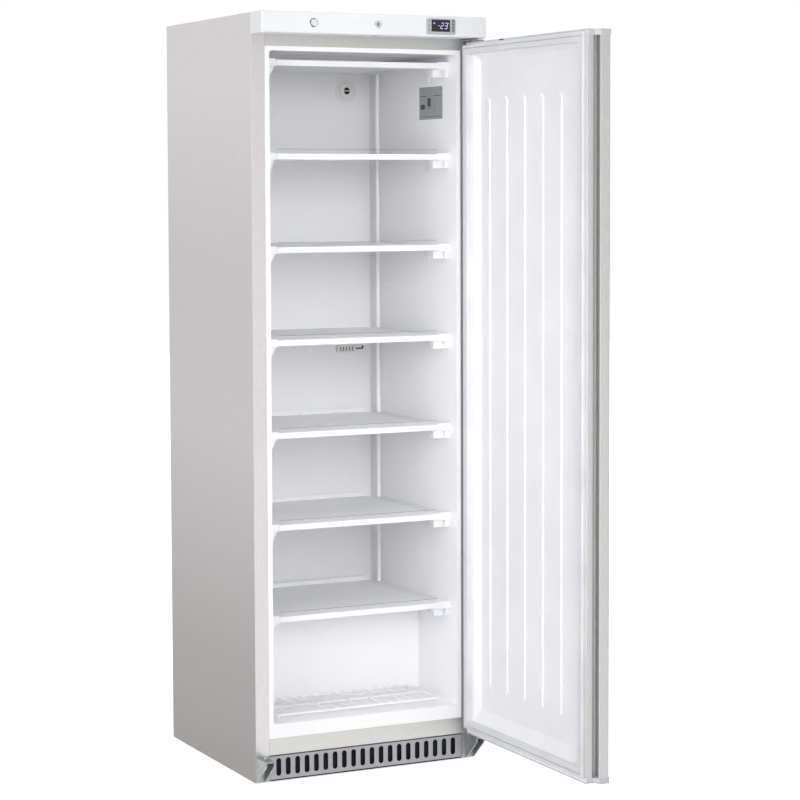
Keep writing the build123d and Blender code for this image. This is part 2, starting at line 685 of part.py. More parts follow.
def lock():
    """Key lock whose barrel drives a sliding bolt through a pinion and rack."""
    face = -FASCIA_DEEP
    y0 = BOLT_Y - BOLT_THICK / 2
    y1 = BOLT_Y + BOLT_THICK / 2
    floor = FASCIA_LOW + FASCIA_WALL
    wheel = PINION - 0.2
    rack_face = LOCK_X + PINION + 0.1
    rack_top = CONTROL_Z + BOLT_TRAVEL + 2
    shoulder = floor + BOLT_TRAVEL + 0.5
    body_top = CONTROL_Z - wheel - 0.4
    bolt = slab(LOCK_X - BOLT_HALF, LOCK_X + BOLT_HALF, y0, y1, HINGE_TOP + 3.5, body_top)
    bolt = fillet(bolt.edges().group_by(Axis.Z)[0], 1.2)
    bolt += slab(LOCK_X, rack_face + 3, y0, y1, shoulder, body_top)
    bolt += slab(rack_face, rack_face + 3, y0, y1, shoulder, rack_top)
    keep("lock_bolt", bolt)
    barrel = rod_y(LOCK_X, CONTROL_Z, face - 1.0, y0, 6.2 - FIT)
    barrel += rod_y(LOCK_X, CONTROL_Z, y0, y1, wheel)
    barrel -= slab(LOCK_X - 0.9, LOCK_X + 0.9, face - 2, face + 12,
                   CONTROL_Z - 4.2, CONTROL_Z + 4.2)
    keep("lock_barrel", barrel)
    body = rod_y(LOCK_X, CONTROL_Z, face - 1.4, face, 10)
    body = chamfer(body.edges().filter_by(GeomType.CIRCLE).group_by(Axis.Y)[0], 0.9)
    body += rod_y(LOCK_X, CONTROL_Z, face, y0 - 1, 8.0)
    body += slab(LOCK_X - 10.5, rack_face + 5.5, y0 - 2.5, y1 + 2.5, floor, rack_top + 2.5)
    body -= rod_y(LOCK_X, CONTROL_Z, face - 3, y0, 6.2)
    body -= rod_y(LOCK_X, CONTROL_Z, y0 - FIT, y1 + FIT, wheel + FIT)
    body -= slab(LOCK_X - BOLT_HALF - FIT, rack_face + 3 + FIT, y0 - FIT, y1 + FIT,
                 floor - 1, rack_top + FIT)
    keep("lock_housing", body)


def display():
    face = -FASCIA_DEEP
    rim = slab(BEZEL_X - BEZEL_WIDE / 2, BEZEL_X + BEZEL_WIDE / 2, face - 3.5, face,
               BEZEL_Z - BEZEL_HIGH / 2, BEZEL_Z + BEZEL_HIGH / 2)
    rim = fillet(rim.edges().filter_by(Axis.Y), 4.0)
    rim = fillet(rim.edges().group_by(Axis.Y)[0], 1.2)
    box = slab(BEZEL_X - 35.5, BEZEL_X + 35.5, face, face + 52, BEZEL_Z - 14.5, BEZEL_Z + 14.5)
    body = rim + box
    win_x = BEZEL_X - 1.5
    body -= slab(win_x - WINDOW_WIDE / 2, win_x + WINDOW_WIDE / 2, face - 4, face - 0.5,
                 BEZEL_Z - WINDOW_HIGH / 2 + 2, BEZEL_Z + WINDOW_HIGH / 2 + 2)
    key_x = BEZEL_X + BEZEL_WIDE / 2 - 7.0
    key_high = 5.4
    pitch = 7.6
    places = [BEZEL_Z + 2 + (1.5 - number) * pitch for number in range(KEYS)]
    for place in places:
        body -= slab(key_x - 3.4, key_x + 3.4, face - 4, face - 0.5,
                     place - key_high / 2 - FIT, place + key_high / 2 + FIT)
    keep("controller", body)
    for number, place in enumerate(places, start=1):
        key = slab(key_x - 3.1, key_x + 3.1, face - 4.0, face - 1.6,
                   place - key_high / 2, place + key_high / 2)
        keep(f"controller_key_{number}", fillet(key.edges().group_by(Axis.Y)[0], 0.6))
    edge = 0.15
    keep("display_window", slab(
        win_x - WINDOW_WIDE / 2 + edge, win_x + WINDOW_WIDE / 2 - edge, face - 3.0, face - 0.5,
        BEZEL_Z - WINDOW_HIGH / 2 + 2 + edge, BEZEL_Z + WINDOW_HIGH / 2 + 2 - edge))


# ---------------------------------------------------------------- door, drawn closed
LOBE_IN = half - 12.0    # how far the inner lobe of the handle reaches to the left
GRIP_LIP = 38.5          # depth of the outer lobe's near edge
GRIP_POCKET = 47.0
GRIP_NEAR = 31.0
GRIP_FLOOR = half - 29.0
PROFILE_RIGHT = -half + 38.0
WALL = 1.8               # wall of the handle profile
RECESS_DEEP = 14.0
RECESS_SIDE = 39.0       # from the side of the door to the mouth of the recess
RECESS_FLOOR = 54.0      # and to its floor
RECESS_FOOT = 38.5       # mouth of the recess over the lower edge of the door
RECESS_HEAD = 29.5
FLOOR_FOOT = 70.5        # its floor over the lower edge of the door
FLOOR_HEAD = 43.5
RIBS = 5
RIB_FREE = 93.5          # from the ribs to the edge of the recess floor at the free side
RIB_HINGE = 22.5         # and at the hinge side
RIB_WIDE = 28.0
RIB_HIGH = 3.0
RIB_LOW = DOOR_LOW + 128.5
RIB_TOP = DOOR_TOP - 136.5


def handle_outline():
    """Plan of the full-height grip: inner lobe, finger groove and outer lobe."""
    inner = -DOOR_INNER - DOOR_LINER - 0.2
    return [
        (PROFILE_RIGHT, -DOOR_OUTER), (-half, -DOOR_OUTER), (-half, -GRIP_LIP),
        (-GRIP_FLOOR - 2, -GRIP_POCKET), (-GRIP_FLOOR, -GRIP_NEAR), (-LOBE_IN, -GRIP_NEAR),
        (-LOBE_IN, inner), (PROFILE_RIGHT, inner),
    ]


def door_handle():
    z0, z1 = DOOR_LOW + CAP_HIGH, DOOR_TOP - CAP_HIGH
    solid = up(handle_outline(), z0, z1)
    for x, y, radius in (
        (-half, -DOOR_OUTER, 8.0), (-half, -GRIP_LIP, 3.0), (-LOBE_IN, -GRIP_NEAR, 4.0),
        (-LOBE_IN, -DOOR_INNER - DOOR_LINER - 0.2, 3.0),
        (-GRIP_FLOOR - 2, -GRIP_POCKET, 4.0), (-GRIP_FLOOR, -GRIP_NEAR, 4.0),
    ):
        solid = fillet(upright(solid, x, y), radius)
    inner = -DOOR_INNER - DOOR_LINER - 0.2
    lobe = up(
        [(PROFILE_RIGHT - WALL, -DOOR_OUTER + WALL), (-half + 9, -DOOR_OUTER + WALL),
         (-half + WALL, -DOOR_OUTER + 9), (-half + WALL, -GRIP_LIP - 4),
         (-GRIP_FLOOR, -GRIP_POCKET - WALL - 0.6), (PROFILE_RIGHT - WALL, -GRIP_POCKET - WALL)],
        z0 - 1, z1 + 1)
    near = up(
        [(PROFILE_RIGHT - WALL, inner - WALL), (-LOBE_IN + 3.5, inner - WALL),
         (-LOBE_IN + WALL, inner - 4), (-LOBE_IN + WALL, -GRIP_NEAR + 5),
         (-LOBE_IN + 4.5, -GRIP_NEAR + WALL), (PROFILE_RIGHT - WALL, -GRIP_NEAR + WALL)],
        z0 - 1, z1 + 1)
    keep("door_handle", solid - lobe - near)


def cap(low, high, face_low, face_high):
    """End cap over the whole plan of the door. Its edge shows beside the door liner."""
    behind = -DOOR_INNER - DOOR_LINER - 0.2
    outline = [
        (half, -DOOR_OUTER), (half, behind), (-LOBE_IN, behind), (-LOBE_IN, -GRIP_NEAR),
        (-half, -GRIP_LIP - 2.5), (-half, -DOOR_OUTER),
    ]
    body = up(outline, low, high)
    body = fillet(upright(body, half, -DOOR_OUTER) + upright(body, -half, -DOOR_OUTER), 3.0)
    body += slab(-LOBE_IN, half, behind - 1, -DOOR_INNER - 0.4, face_low, face_high)
    return body


def door_shell():
    inner = -DOOR_INNER - DOOR_LINER - 0.2
    z0, z1 = DOOR_LOW + CAP_HIGH, DOOR_TOP - CAP_HIGH
    left = PROFILE_RIGHT + FIT
    skin = up(
        [(left, -DOOR_OUTER), (half, -DOOR_OUTER), (half, inner), (half - 14, inner),
         (half - 14, inner - SHEET), (half - SHEET, inner - SHEET),
         (half - SHEET, -DOOR_OUTER + SHEET), (left, -DOOR_OUTER + SHEET)], z0, z1)
    skin = fillet(upright(skin, half, -DOOR_OUTER), 3.0)
    skin = fillet(upright(skin, half - SHEET, -DOOR_OUTER + SHEET), 2.0)
    keep("door_skin", skin)
    foam_right = half - SHEET - 2.0
    foam = up(
        [(PROFILE_RIGHT + FIT, -DOOR_OUTER + SHEET), (foam_right, -DOOR_OUTER + SHEET),
         (foam_right, inner - SHEET), (half - 14 - FIT, inner - SHEET),
         (half - 14 - FIT, -DOOR_INNER - DOOR_LINER), (PROFILE_RIGHT + FIT, -DOOR_INNER - DOOR_LINER)],
        z0, z1)
    keep("door_insulation", foam - recess(LINER_WALL, 0))
    slot_deep = 10.0
    strip = CAP_LIP - 0.2
    face_z = DOOR_TOP - strip
    top_cap = cap(DOOR_TOP - CAP_HIGH, DOOR_TOP, face_z + 0.2, DOOR_TOP)
    top_cap -= slab(LOCK_X - 7, LOCK_X + 7, BOLT_Y - 4.5, BOLT_Y + 4.5, DOOR_TOP - slot_deep,
                    DOOR_TOP + 1)
    top_cap -= post(PIN_X, PIN_Y, DOOR_TOP - CAP_HIGH - 1, DOOR_TOP + 1, BUSH_R + 0.02)
    top_cap -= slab(MAGNET_X - 11, MAGNET_X + 11, -17, -DOOR_INNER, face_z, DOOR_TOP - 0.8)
    keep("door_cap_top", top_cap)
    keep("switch_magnet", slab(MAGNET_X - 10.8, MAGNET_X + 10.8, -16.95, -DOOR_INNER - 0.6,
                               face_z + 0.25, DOOR_TOP - 1))
    low_cap = cap(DOOR_LOW, DOOR_LOW + CAP_HIGH, DOOR_LOW, DOOR_LOW + strip - 0.2)
    low_cap -= post(PIN_X, PIN_Y, DOOR_LOW - 1, DOOR_LOW + CAP_HIGH + 1, BUSH_R + 0.02)
    # the unused pin enters this slot from the inner side as the door closes
    room = PIN_D / 2 + SPARE_ROOM
    slot_top = SPARE_TOP + SPARE_ROOM
    low_cap -= post(-PIN_X, PIN_Y, DOOR_LOW - 1, slot_top, room)
    low_cap -= slab(-PIN_X - room, -PIN_X + room, PIN_Y, 0, DOOR_LOW - 1, slot_top)
    keep("door_cap_bottom", low_cap)
    upper = bush(DOOR_TOP - CAP_HIGH + 0.2, DOOR_TOP, DOOR_TOP, HINGE_TOP - FIT)
    lower = bush(DOOR_LOW, DOOR_LOW + CAP_HIGH - 0.2, HINGE_LOW + FIT, DOOR_LOW)
    keep("door_bushes", Compound([upper, lower]))


BUSH_R = 7.0
MAGNET_X = 118.0


def bush(low, high, collar_low, collar_high):
    body = post(PIN_X, PIN_Y, low, high, BUSH_R)
    body += post(PIN_X, PIN_Y, collar_low, collar_high, 9.5)
    return body - post(PIN_X, PIN_Y, min(low, collar_low) - 1, max(high, collar_high) + 1,
                       PIN_D / 2 + PIN_FIT)


def recess(grow, corner):
    """The shallow hollow of the door liner: a tapering pan."""
    low, high = DOOR_LOW + RECESS_FOOT - grow, DOOR_TOP - RECESS_HEAD + grow
    foot, head = DOOR_LOW + FLOOR_FOOT - grow, DOOR_TOP - FLOOR_HEAD + grow
    wide, floor_wide = half - RECESS_SIDE + grow, half - RECESS_FLOOR + grow
    deep = -DOOR_INNER - RECESS_DEEP - grow
    outer = Rectangle(2 * wide, high - low)
    inner = Rectangle(2 * floor_wide, head - foot)
    if corner:
        outer = fillet(outer.vertices(), corner)
        inner = fillet(inner.vertices(), corner)
    mouth = Plane.XZ.offset(DOOR_INNER) * Pos(0, (low + high) / 2) * outer
    floor = Plane.XZ.offset(-deep) * Pos(0, (foot + head) / 2) * inner
    return loft([mouth, floor], ruled=True)


def door_liner():
    z0, z1 = DOOR_LOW + CAP_LIP, DOOR_TOP - CAP_LIP
    left, right = -LOBE_IN + 1.5, half - 1.2
    frame = slab(left, right, -DOOR_INNER - DOOR_LINER, -DOOR_INNER, z0, z1)
    frame = fillet(frame.edges().filter_by(Axis.Y), 3.0)
    sheet = frame + recess(LINER_WALL, 6) - recess(0, 6)
    base = -DOOR_INNER - RECESS_DEEP
    length = RIB_TOP - RIB_LOW
    first = -half + RECESS_FLOOR + RIB_FREE + RIB_WIDE / 2
    last = half - RECESS_FLOOR - RIB_HINGE - RIB_WIDE / 2
    for number in range(RIBS):
        x = first + number * (last - first) / (RIBS - 1)
        outline = Plane.XZ.offset(-base + 0.5) * Pos(x, (RIB_LOW + RIB_TOP) / 2) * SlotOverall(
            length, RIB_WIDE, rotation=90)
        sheet += extrude(outline, amount=RIB_HIGH + 0.5, dir=(0, 1, 0), taper=45)
    keep("door_liner", sheet)


def gasket():
    """Magnetic seal: a mitred frame with two soft lobes and a crease between them."""
    left, right = -half + GASKET_FREE, half - GASKET_HINGE
    wide, high = right - left, GASKET_TOP - GASKET_LOW
    middle = Pos((left + right) / 2, (GASKET_TOP + GASKET_LOW) / 2)
    front = -GASKET_GAP

    def ring(outer, inner, y0, y1):
        big = RectangleRounded(wide - 2 * outer, high - 2 * outer, 4)
        small = RectangleRounded(wide - 2 * inner, high - 2 * inner, 3)
        return back(middle * (big - small), y0, y1)

    body = ring(0, GASKET_WIDE, -DOOR_INNER, front)
    # the outer lobe is well rounded, so that it clears the jamb as the door turns
    body = chamfer(body.faces().sort_by(Axis.Y)[-1].outer_wire().edges(), 3.0)
    body = chamfer(body.faces().sort_by(Axis.Y)[-1].inner_wires()[0].edges(), 1.8)
    body -= ring(8.5, 10.0, front - 4, front + 1)
    body -= ring(-1, 1.8, -DOOR_INNER + 3, -DOOR_INNER + 5.5)
    keep("gasket", body)


# ---------------------------------------------------------------- build everything
def open_door(shape):
    turned = Pos(-PIN_X, -PIN_Y, 0) * shape
    turned = Rot(0, 0, DOOR_OPEN) * turned
    return Pos(PIN_X, PIN_Y, 0) * turned


shell()
keep("liner", liner_piece())
insulation()
evaporator()
keep("wire_rack", rack())
wall_fittings()
machinery()
feet()
grille()
hinges()
fascia()
controls()
cabinet_names = set(parts)
door_handle()
door_shell()
door_liner()
gasket()
for name in parts:
    if name not in cabinet_names:
        parts[name] = open_door(parts[name])

# The open door reaches furthest to the right and to the front.
reach_right = PIN_X + DOOR_OUTER + PIN_Y
reach_front = PIN_Y - PIN_X - half
shift_x = -(reach_right - half) / 2
shift_y = -(DEPTH + reach_front) / 2
place = Pos(shift_x, shift_y, FOOT_PROUD)

os.makedirs("parts", exist_ok=True)
for name, shape in parts.items():
    export_step(place * shape, f"parts/{name}.step")
print(len(parts), "nodes, origin moved by", round(shift_x, 3), round(shift_y, 3), FOOT_PROUD)
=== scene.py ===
# %% [markdown]
# # Upright freezer with one solid door
# A tall stainless freezer stands with its door open at a right angle. The exact solids come
# from the CAD frame, already in metres and in place. This lesson gives every piece its real
# finish, adds the small parts that CAD leaves out, and lights it like a catalogue picture.

# %% Load the frame
import math
import bmesh
import bpy
from mathutils import Matrix, Vector


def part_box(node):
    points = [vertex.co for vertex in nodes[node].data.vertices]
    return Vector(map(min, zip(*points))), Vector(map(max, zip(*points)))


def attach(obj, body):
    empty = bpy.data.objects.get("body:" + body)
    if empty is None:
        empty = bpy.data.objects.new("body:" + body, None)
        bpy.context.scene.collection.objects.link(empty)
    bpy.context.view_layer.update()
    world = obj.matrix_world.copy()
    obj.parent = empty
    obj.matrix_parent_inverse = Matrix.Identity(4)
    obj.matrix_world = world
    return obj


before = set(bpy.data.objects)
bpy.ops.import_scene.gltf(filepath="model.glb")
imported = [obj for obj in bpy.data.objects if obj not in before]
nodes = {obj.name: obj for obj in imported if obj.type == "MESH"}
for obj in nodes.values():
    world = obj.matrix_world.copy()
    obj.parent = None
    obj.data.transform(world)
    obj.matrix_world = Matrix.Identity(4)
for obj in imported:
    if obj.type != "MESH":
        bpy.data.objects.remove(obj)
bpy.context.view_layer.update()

# %% [markdown]
# ## Camera
# The photograph was taken with a long lens from the front left, somewhat below the freezer's
# top. Its upright edges stay almost parallel, because the camera is nearly level and a small
# lens shift frames the picture. A camera could be turned by eye until it fits, but the numbers
# below were fitted to the cabinet's edges, so every comparison starts from the right place.

# %% Camera
SIDE_PX = 800
SENSOR = 36.0
FOCAL_PX = 2376.8
YAW = math.radians(-26.32)
PITCH = math.radians(3.789)
ROLL = math.radians(-0.193)
LENS_SHIFT = -0.07
EYE = Vector((-2.5160, -5.2224, 1.4490))
SEES_AS_FAR_AS = 60


def look_along(yaw, pitch, roll):
    """Camera axes from a turn about the vertical, a downward pitch and a roll."""
    turn = Matrix.Rotation(yaw, 3, "Z")
    nod = Matrix.Rotation(math.pi / 2 - pitch, 3, "X")
    tilt = Matrix.Rotation(roll, 3, "Z")
    return (turn @ nod @ tilt).to_4x4()


camera_data = bpy.data.cameras.new("catalogue_camera")
camera_data.sensor_width = SENSOR
camera_data.lens = FOCAL_PX / SIDE_PX * SENSOR
camera_data.shift_y = LENS_SHIFT
camera_data.clip_end = SEES_AS_FAR_AS
camera = bpy.data.objects.new("catalogue_camera", camera_data)
bpy.context.scene.collection.objects.link(camera)
camera.matrix_world = Matrix.Translation(EYE) @ look_along(YAW, PITCH, ROLL)
bpy.context.scene.camera = camera
print("lens", round(camera_data.lens, 2), "mm")

# %% [markdown]
# ## Helpers for shader nodes
# A material in Blender is a small graph of nodes. Each node could be made and joined line by
# line, which hides the idea behind bookkeeping. One function adds a node with its settings
# and its links, so every finish below reads as a recipe. Colours are written as sRGB hex, the
# way a paint chart gives them, and turned to the linear values that shaders use.

# %% Helpers for shader nodes


def linear(code):
    """sRGB hex to a linear colour with full alpha, by the fixed numbers of the sRGB curve."""
    values = [int(code[i:i + 2], 16) / 255 for i in (0, 2, 4)]
    return [v / 12.92 if v <= 0.04045 else ((v + 0.055) / 1.055) ** 2.4
            for v in values] + [1]


def add(tree, kind, settings=None, links=None):
    """Adds a shader node, sets its values and joins its inputs."""
    node = tree.nodes.new(kind)
    for key, value in (settings or {}).items():
        if isinstance(key, str) and hasattr(node, key):
            setattr(node, key, value)
        else:
            node.inputs[key].default_value = value
    for socket, source in (links or {}).items():
        tree.links.new(source, node.inputs[socket])
    return node


def white_to_viewer(tree):
    """1 for camera, glossy and transmission rays, and 0 for rays that light things."""
    path = add(tree, "ShaderNodeLightPath")
    first = add(tree, "ShaderNodeMath", {"operation": "MAXIMUM"},
                {0: path.outputs["Is Camera Ray"], 1: path.outputs["Is Glossy Ray"]})
    both = add(tree, "ShaderNodeMath", {"operation": "MAXIMUM"},
               {0: first.outputs[0], 1: path.outputs["Is Transmission Ray"]})
    return both.outputs[0]


print("mid grey 808080 is", round(linear("808080")[0], 3), "in linear light")

# %% [markdown]
# ## White room
# A catalogue picture stands in a white room. A world strong enough to look white would also
# wash out every shadow, so the world has two faces: pure white where the camera or a
# reflection sees it, and a modest glow where it lights the object.

# %% World
WORLD_LIGHT = 0.45

world = bpy.data.worlds.new("studio")
bpy.context.scene.world = world
world.use_nodes = True
tree = world.node_tree
tree.nodes.clear()
seen = white_to_viewer(tree)
soft = add(tree, "ShaderNodeBackground", {"Color": linear("F9F9FA"), "Strength": WORLD_LIGHT})
plain = add(tree, "ShaderNodeBackground", {"Color": (1, 1, 1, 1), "Strength": 1.0})
mix = add(tree, "ShaderNodeMixShader", None, {0: seen, 1: soft.outputs[0], 2: plain.outputs[0]})
add(tree, "ShaderNodeOutputWorld", None, {"Surface": mix.outputs[0]})
print("world lights at", WORLD_LIGHT)

# %% [markdown]
# ## Floor
# The floor is a sheet of white paper. Without it the freezer would float, so it is a real
# surface that takes a faint shadow. An emission that only the viewer sees lifts the paper to
# the white of the background. It is stage, not part of the object.

# %% Floor paper
FLOOR_REACH = 14.0
PAPER_LIFT = 0.85
PAPER_ROUGH = 0.9

floor_mesh = bpy.data.meshes.new("studio_floor")
bm = bmesh.new()
bmesh.ops.create_grid(bm, x_segments=1, y_segments=1, size=FLOOR_REACH)
bm.to_mesh(floor_mesh)
bm.free()
floor = bpy.data.objects.new("studio_floor", floor_mesh)
bpy.context.scene.collection.objects.link(floor)

paper = bpy.data.materials.new("white_floor_paper")
paper.use_nodes = True
tree = paper.node_tree
tree.nodes.clear()
seen = white_to_viewer(tree)
lift = add(tree, "ShaderNodeMath", {"operation": "MULTIPLY", 1: PAPER_LIFT}, {0: seen})
sheet = add(tree, "ShaderNodeBsdfPrincipled",
            {"Base Color": linear("EDEDED"), "Roughness": PAPER_ROUGH,
             "Emission Color": (1, 1, 1, 1)}, {"Emission Strength": lift.outputs[0]})
add(tree, "ShaderNodeOutputMaterial", None, {"Surface": sheet.outputs[0]})
floor_mesh.materials.append(paper)
print("floor reaches", FLOOR_REACH, "m each way")

# %% [markdown]
# ## Lamps
# White plastic shows its form only by faint greys, so the light has to be large and soft. Three
# big soft boxes stand in front, at the left and above. A narrow one reaches into the open
# cabinet, and a small panel lies on the highest shelf, because the gap over it would be black.
# The lamps don't show in reflections, which keep to the white room and the pieces themselves.

# %% Soft boxes
AIM = Vector((0.0, 0.0, 0.95))
WIDE_OPEN = 180


def softbox(name, place, size, watts, aim=AIM, spread=WIDE_OPEN):
    """An area lamp: place and size in metres, turned to face a point, spread in degrees."""
    data = bpy.data.lights.new(name, "AREA")
    data.shape = "RECTANGLE"
    data.size, data.size_y = size
    data.energy = watts
    data.spread = math.radians(spread)
    lamp = bpy.data.objects.new(name, data)
    bpy.context.scene.collection.objects.link(lamp)
    lamp.location = place
    lamp.rotation_euler = (Vector(aim) - Vector(place)).to_track_quat("-Z", "Y").to_euler()
    lamp.visible_camera = False
    lamp.visible_glossy = False


softbox("front_box", (-1.0, -4.6, 2.2), (3.0, 3.2), 27)
softbox("left_box", (-4.4, -2.2, 1.5), (3.4, 3.0), 80)
softbox("top_box", (-0.6, -0.9, 4.6), (2.6, 2.6), 26)
softbox("opening_box", (-0.45, -2.1, 1.35), (0.5, 1.5), 3.05, (0.0, 0.3, 0.87), 54)
softbox("ceiling_box", (-0.012, 0.27, 1.759), (0.46, 0.34), 0.07, (-0.012, 0.27, 3.0))
# plain sRGB, so that the white of the room stays white in the picture
view_settings = bpy.context.scene.view_settings
view_settings.view_transform = "Standard"
print("five soft boxes")

# %% [markdown]
# ## How a finish is built
# Every finish starts from what the real surface is. Patterns read Object coordinates in
# metres, so a grain of one millimetre has a scale of 1000. Plain numbers sit on the shader's
# own sockets, and only what varies over the surface is joined to them. A pattern can move
# three things: the colour, the roughness and a faint relief.

# %% Helpers for finishes
MM = 0.001
RAMP_LOW = 0.35
RAMP_HIGH = 0.65


def begin(name, code, metallic=0.0, roughness=0.5):
    """A new material with one principled shader. Returns it with its tree and shader."""
    made = bpy.data.materials.new(name)
    made.use_nodes = True
    tree = made.node_tree
    tree.nodes.clear()
    settings = {"Base Color": linear(code), "Metallic": metallic, "Roughness": roughness}
    shader = add(tree, "ShaderNodeBsdfPrincipled", settings)
    add(tree, "ShaderNodeOutputMaterial", None, {"Surface": shader.outputs[0]})
    return made, tree, shader


def grain(tree, size_mm, stretch=(1, 1, 1), detail=3.0):
    """Noise in Object coordinates with cells of about a size in millimetres."""
    where = add(tree, "ShaderNodeTexCoord")
    scale = add(tree, "ShaderNodeMapping", {"Scale": [1 / s for s in stretch]},
                {"Vector": where.outputs["Object"]})
    return add(tree, "ShaderNodeTexNoise", {"Scale": 1 / (size_mm * MM), "Detail": detail},
               {"Vector": scale.outputs[0]})


def vary_colour(tree, shader, pattern, dark, light, low=RAMP_LOW, high=RAMP_HIGH):
    """The base colour runs between two hex colours as the pattern goes from low to high."""
    ramp = add(tree, "ShaderNodeValToRGB", None, {"Fac": pattern})
    ramp.color_ramp.elements[0].position = low
    ramp.color_ramp.elements[1].position = high
    ramp.color_ramp.elements[0].color = linear(dark)
    ramp.color_ramp.elements[1].color = linear(light)
    tree.links.new(ramp.outputs["Color"], shader.inputs["Base Color"])


def vary_touch(tree, shader, pattern, smooth, rough, height_mm, strength=0.5):
    """What a finger would feel: a pattern moves the roughness and a relief in millimetres."""
    spread = add(tree, "ShaderNodeMapRange", {"To Min": smooth, "To Max": rough},
                 {"Value": pattern})
    bump = add(tree, "ShaderNodeBump", {"Distance": height_mm * MM, "Strength": strength},
               {"Height": pattern})
    tree.links.new(spread.outputs[0], shader.inputs["Roughness"])
    tree.links.new(bump.outputs[0], shader.inputs["Normal"])


print("a 1 mm grain has scale", round(1 / MM))

# %% [markdown]
# ## Satin stainless sheet
# The cabinet, the strips, the grille and the door skin are folded from thin stainless sheet
# with a short rolled grain. An anisotropic shader could smear its highlights, but a drawn
# grain looks the same from every side. Noise stretched thirty times along the rolling
# direction gives fine dashes, and a rounder speckle breaks them up. Real grain is about a
# tenth of a millimetre wide, too fine to show here, so it is drawn nearly a millimetre wide.
# Oxide and fine grain make satin sheet partly matt, so it isn't fully metallic.

# %% Satin stainless sheet
DASH_MM = 0.9
SPECKLE_MM = 2.6
SPECKLE_SHARE = 0.45
ROLLED_UP = (1, 1, 30)
ROLLED_ACROSS = (30, 1, 1)


def sheet_steel(name, dark, light, along, roughness=0.38, metallic=0.75):
    """Stainless sheet with a short satin grain: fine dashes along the rolling direction."""
    made, tree, shader = begin(name, light, metallic, roughness)
    dashes = grain(tree, DASH_MM, along, 2.0)
    speckle = grain(tree, SPECKLE_MM, (1, 1, 1), 4.0)
    both = add(tree, "ShaderNodeMix", {"data_type": "FLOAT", 0: SPECKLE_SHARE},
               {2: dashes.outputs["Fac"], 3: speckle.outputs["Fac"]})
    vary_colour(tree, shader, both.outputs[0], dark, light, 0.3, 0.7)
    vary_touch(tree, shader, dashes.outputs["Fac"], roughness - 0.06, roughness + 0.08, 0.02)
    return made, tree, shader


print("grain", DASH_MM, "mm wide and", DASH_MM * ROLLED_UP[2], "mm long")

# %% [markdown]
# ## Painted reflection on the tall sides
# A tall polished side never has one tone: it darkens gently toward the foot, where it mirrors
# less of the bright room. Real mirroring would need a real room around the freezer, so the
# reflection is painted: a ramp over the height, multiplied with the grain, darkens the sides
# toward the foot under any light. Faces that look forward, which are the narrow jambs, keep
# one light tone.

# %% Painted reflection tones of the tall sides
RAMP_SPAN = 2.0
FRONT_TONE = "F4F2F3"
PAINTED_REFLECTION_TONES = [("A19D9C", 0.0), ("B2AEAD", 0.3), ("DEDBDB", 0.85), ("E6E4E4", 1.25),
              ("FCFBFB", 1.7)]


def painted_reflection_by_height(tree, shader, front, tones):
    """One tone for the faces that look forward, and a painted reflection by height on the sides.
    """
    where = add(tree, "ShaderNodeTexCoord")
    height = add(tree, "ShaderNodeSeparateXYZ", None, {0: where.outputs["Object"]})
    facing = add(tree, "ShaderNodeSeparateXYZ", None, {0: where.outputs["Normal"]})
    side = add(tree, "ShaderNodeMath", {"operation": "ABSOLUTE"}, {0: facing.outputs["X"]})
    share = add(tree, "ShaderNodeMath", {"operation": "DIVIDE", 1: RAMP_SPAN},
                {0: height.outputs["Z"]})
    ramp = add(tree, "ShaderNodeValToRGB", None, {"Fac": share.outputs[0]})
    stops = ramp.color_ramp.elements
    while len(stops) < len(tones):
        stops.new(0.5)
    for stop, (code, level) in zip(stops, tones):
        stop.position = level / RAMP_SPAN
    for stop, (code, level) in zip(stops, tones):
        stop.color = linear(code)
    base = shader.inputs["Base Color"].links[0].from_socket
    tone = add(tree, "ShaderNodeMix", {"data_type": "RGBA", 6: linear(front)},
               {0: side.outputs[0], 7: ramp.outputs["Color"]})
    darker = add(tree, "ShaderNodeMix", {"data_type": "RGBA", "blend_type": "MULTIPLY", 0: 1.0},
                 {6: base, 7: tone.outputs[2]})
    tree.links.new(darker.outputs[2], shader.inputs["Base Color"])


# sides, top and jambs: bright and cool, grain upright, painted reflection darker at the foot
side_steel_painted_reflection, tree, shader = sheet_steel("satin_stainless_painted_reflection", "CECBCC", "E2E0E1", ROLLED_UP)
painted_reflection_by_height(tree, shader, FRONT_TONE, PAINTED_REFLECTION_TONES)
# strips: grain runs across, a warmer and darker band over and under the opening
strip_steel = sheet_steel("satin_stainless_strip", "BFBEBC", "CFCECB", ROLLED_ACROSS)[0]
# grille: the punched foot, darker and more matt than the rest
grille_steel = sheet_steel("satin_steel_grille", "96979A", "ABACAF", ROLLED_ACROSS, 0.45, 0.6)[0]
# door skin: a flat even sheet with its grain upright
door_steel = sheet_steel("satin_stainless_door_skin", "C3C2C2", "D3D2D2", ROLLED_UP)[0]
print("sides have", len(PAINTED_REFLECTION_TONES), "tones over", RAMP_SPAN, "m")

# %% [markdown]
# ## Galvanised sheet
# Zinc freezes on steel in flat crystals, and each crystal takes its own grey, which is called
# spangle. Noise would only cloud the sheet. Voronoi cells have the straight borders of real
# crystals, and one grey for each cell moves its colour, its gloss and its height.

# %% Galvanised sheet


def galvanised(name, dark, light, spangle_mm=4.0):
    """Zinc coated steel: flat crystals, each a slightly different grey."""
    made, tree, shader = begin(name, light, 0.8, 0.45)
    where = add(tree, "ShaderNodeTexCoord")
    cells = add(tree, "ShaderNodeTexVoronoi", {"Scale": 1 / (spangle_mm * MM)},
                {"Vector": where.outputs["Object"]})
    grey = add(tree, "ShaderNodeRGBToBW", None, {"Color": cells.outputs["Color"]})
    vary_colour(tree, shader, grey.outputs[0], dark, light, 0.2, 0.8)
    vary_touch(tree, shader, grey.outputs[0], 0.35, 0.6, 0.03, 0.4)
    return made


# hinge brackets: thick sheet with small crystals and strong contrast
zinc_sheet = galvanised("galvanised_steel_sheet", "8E9091", "B4B6B7")
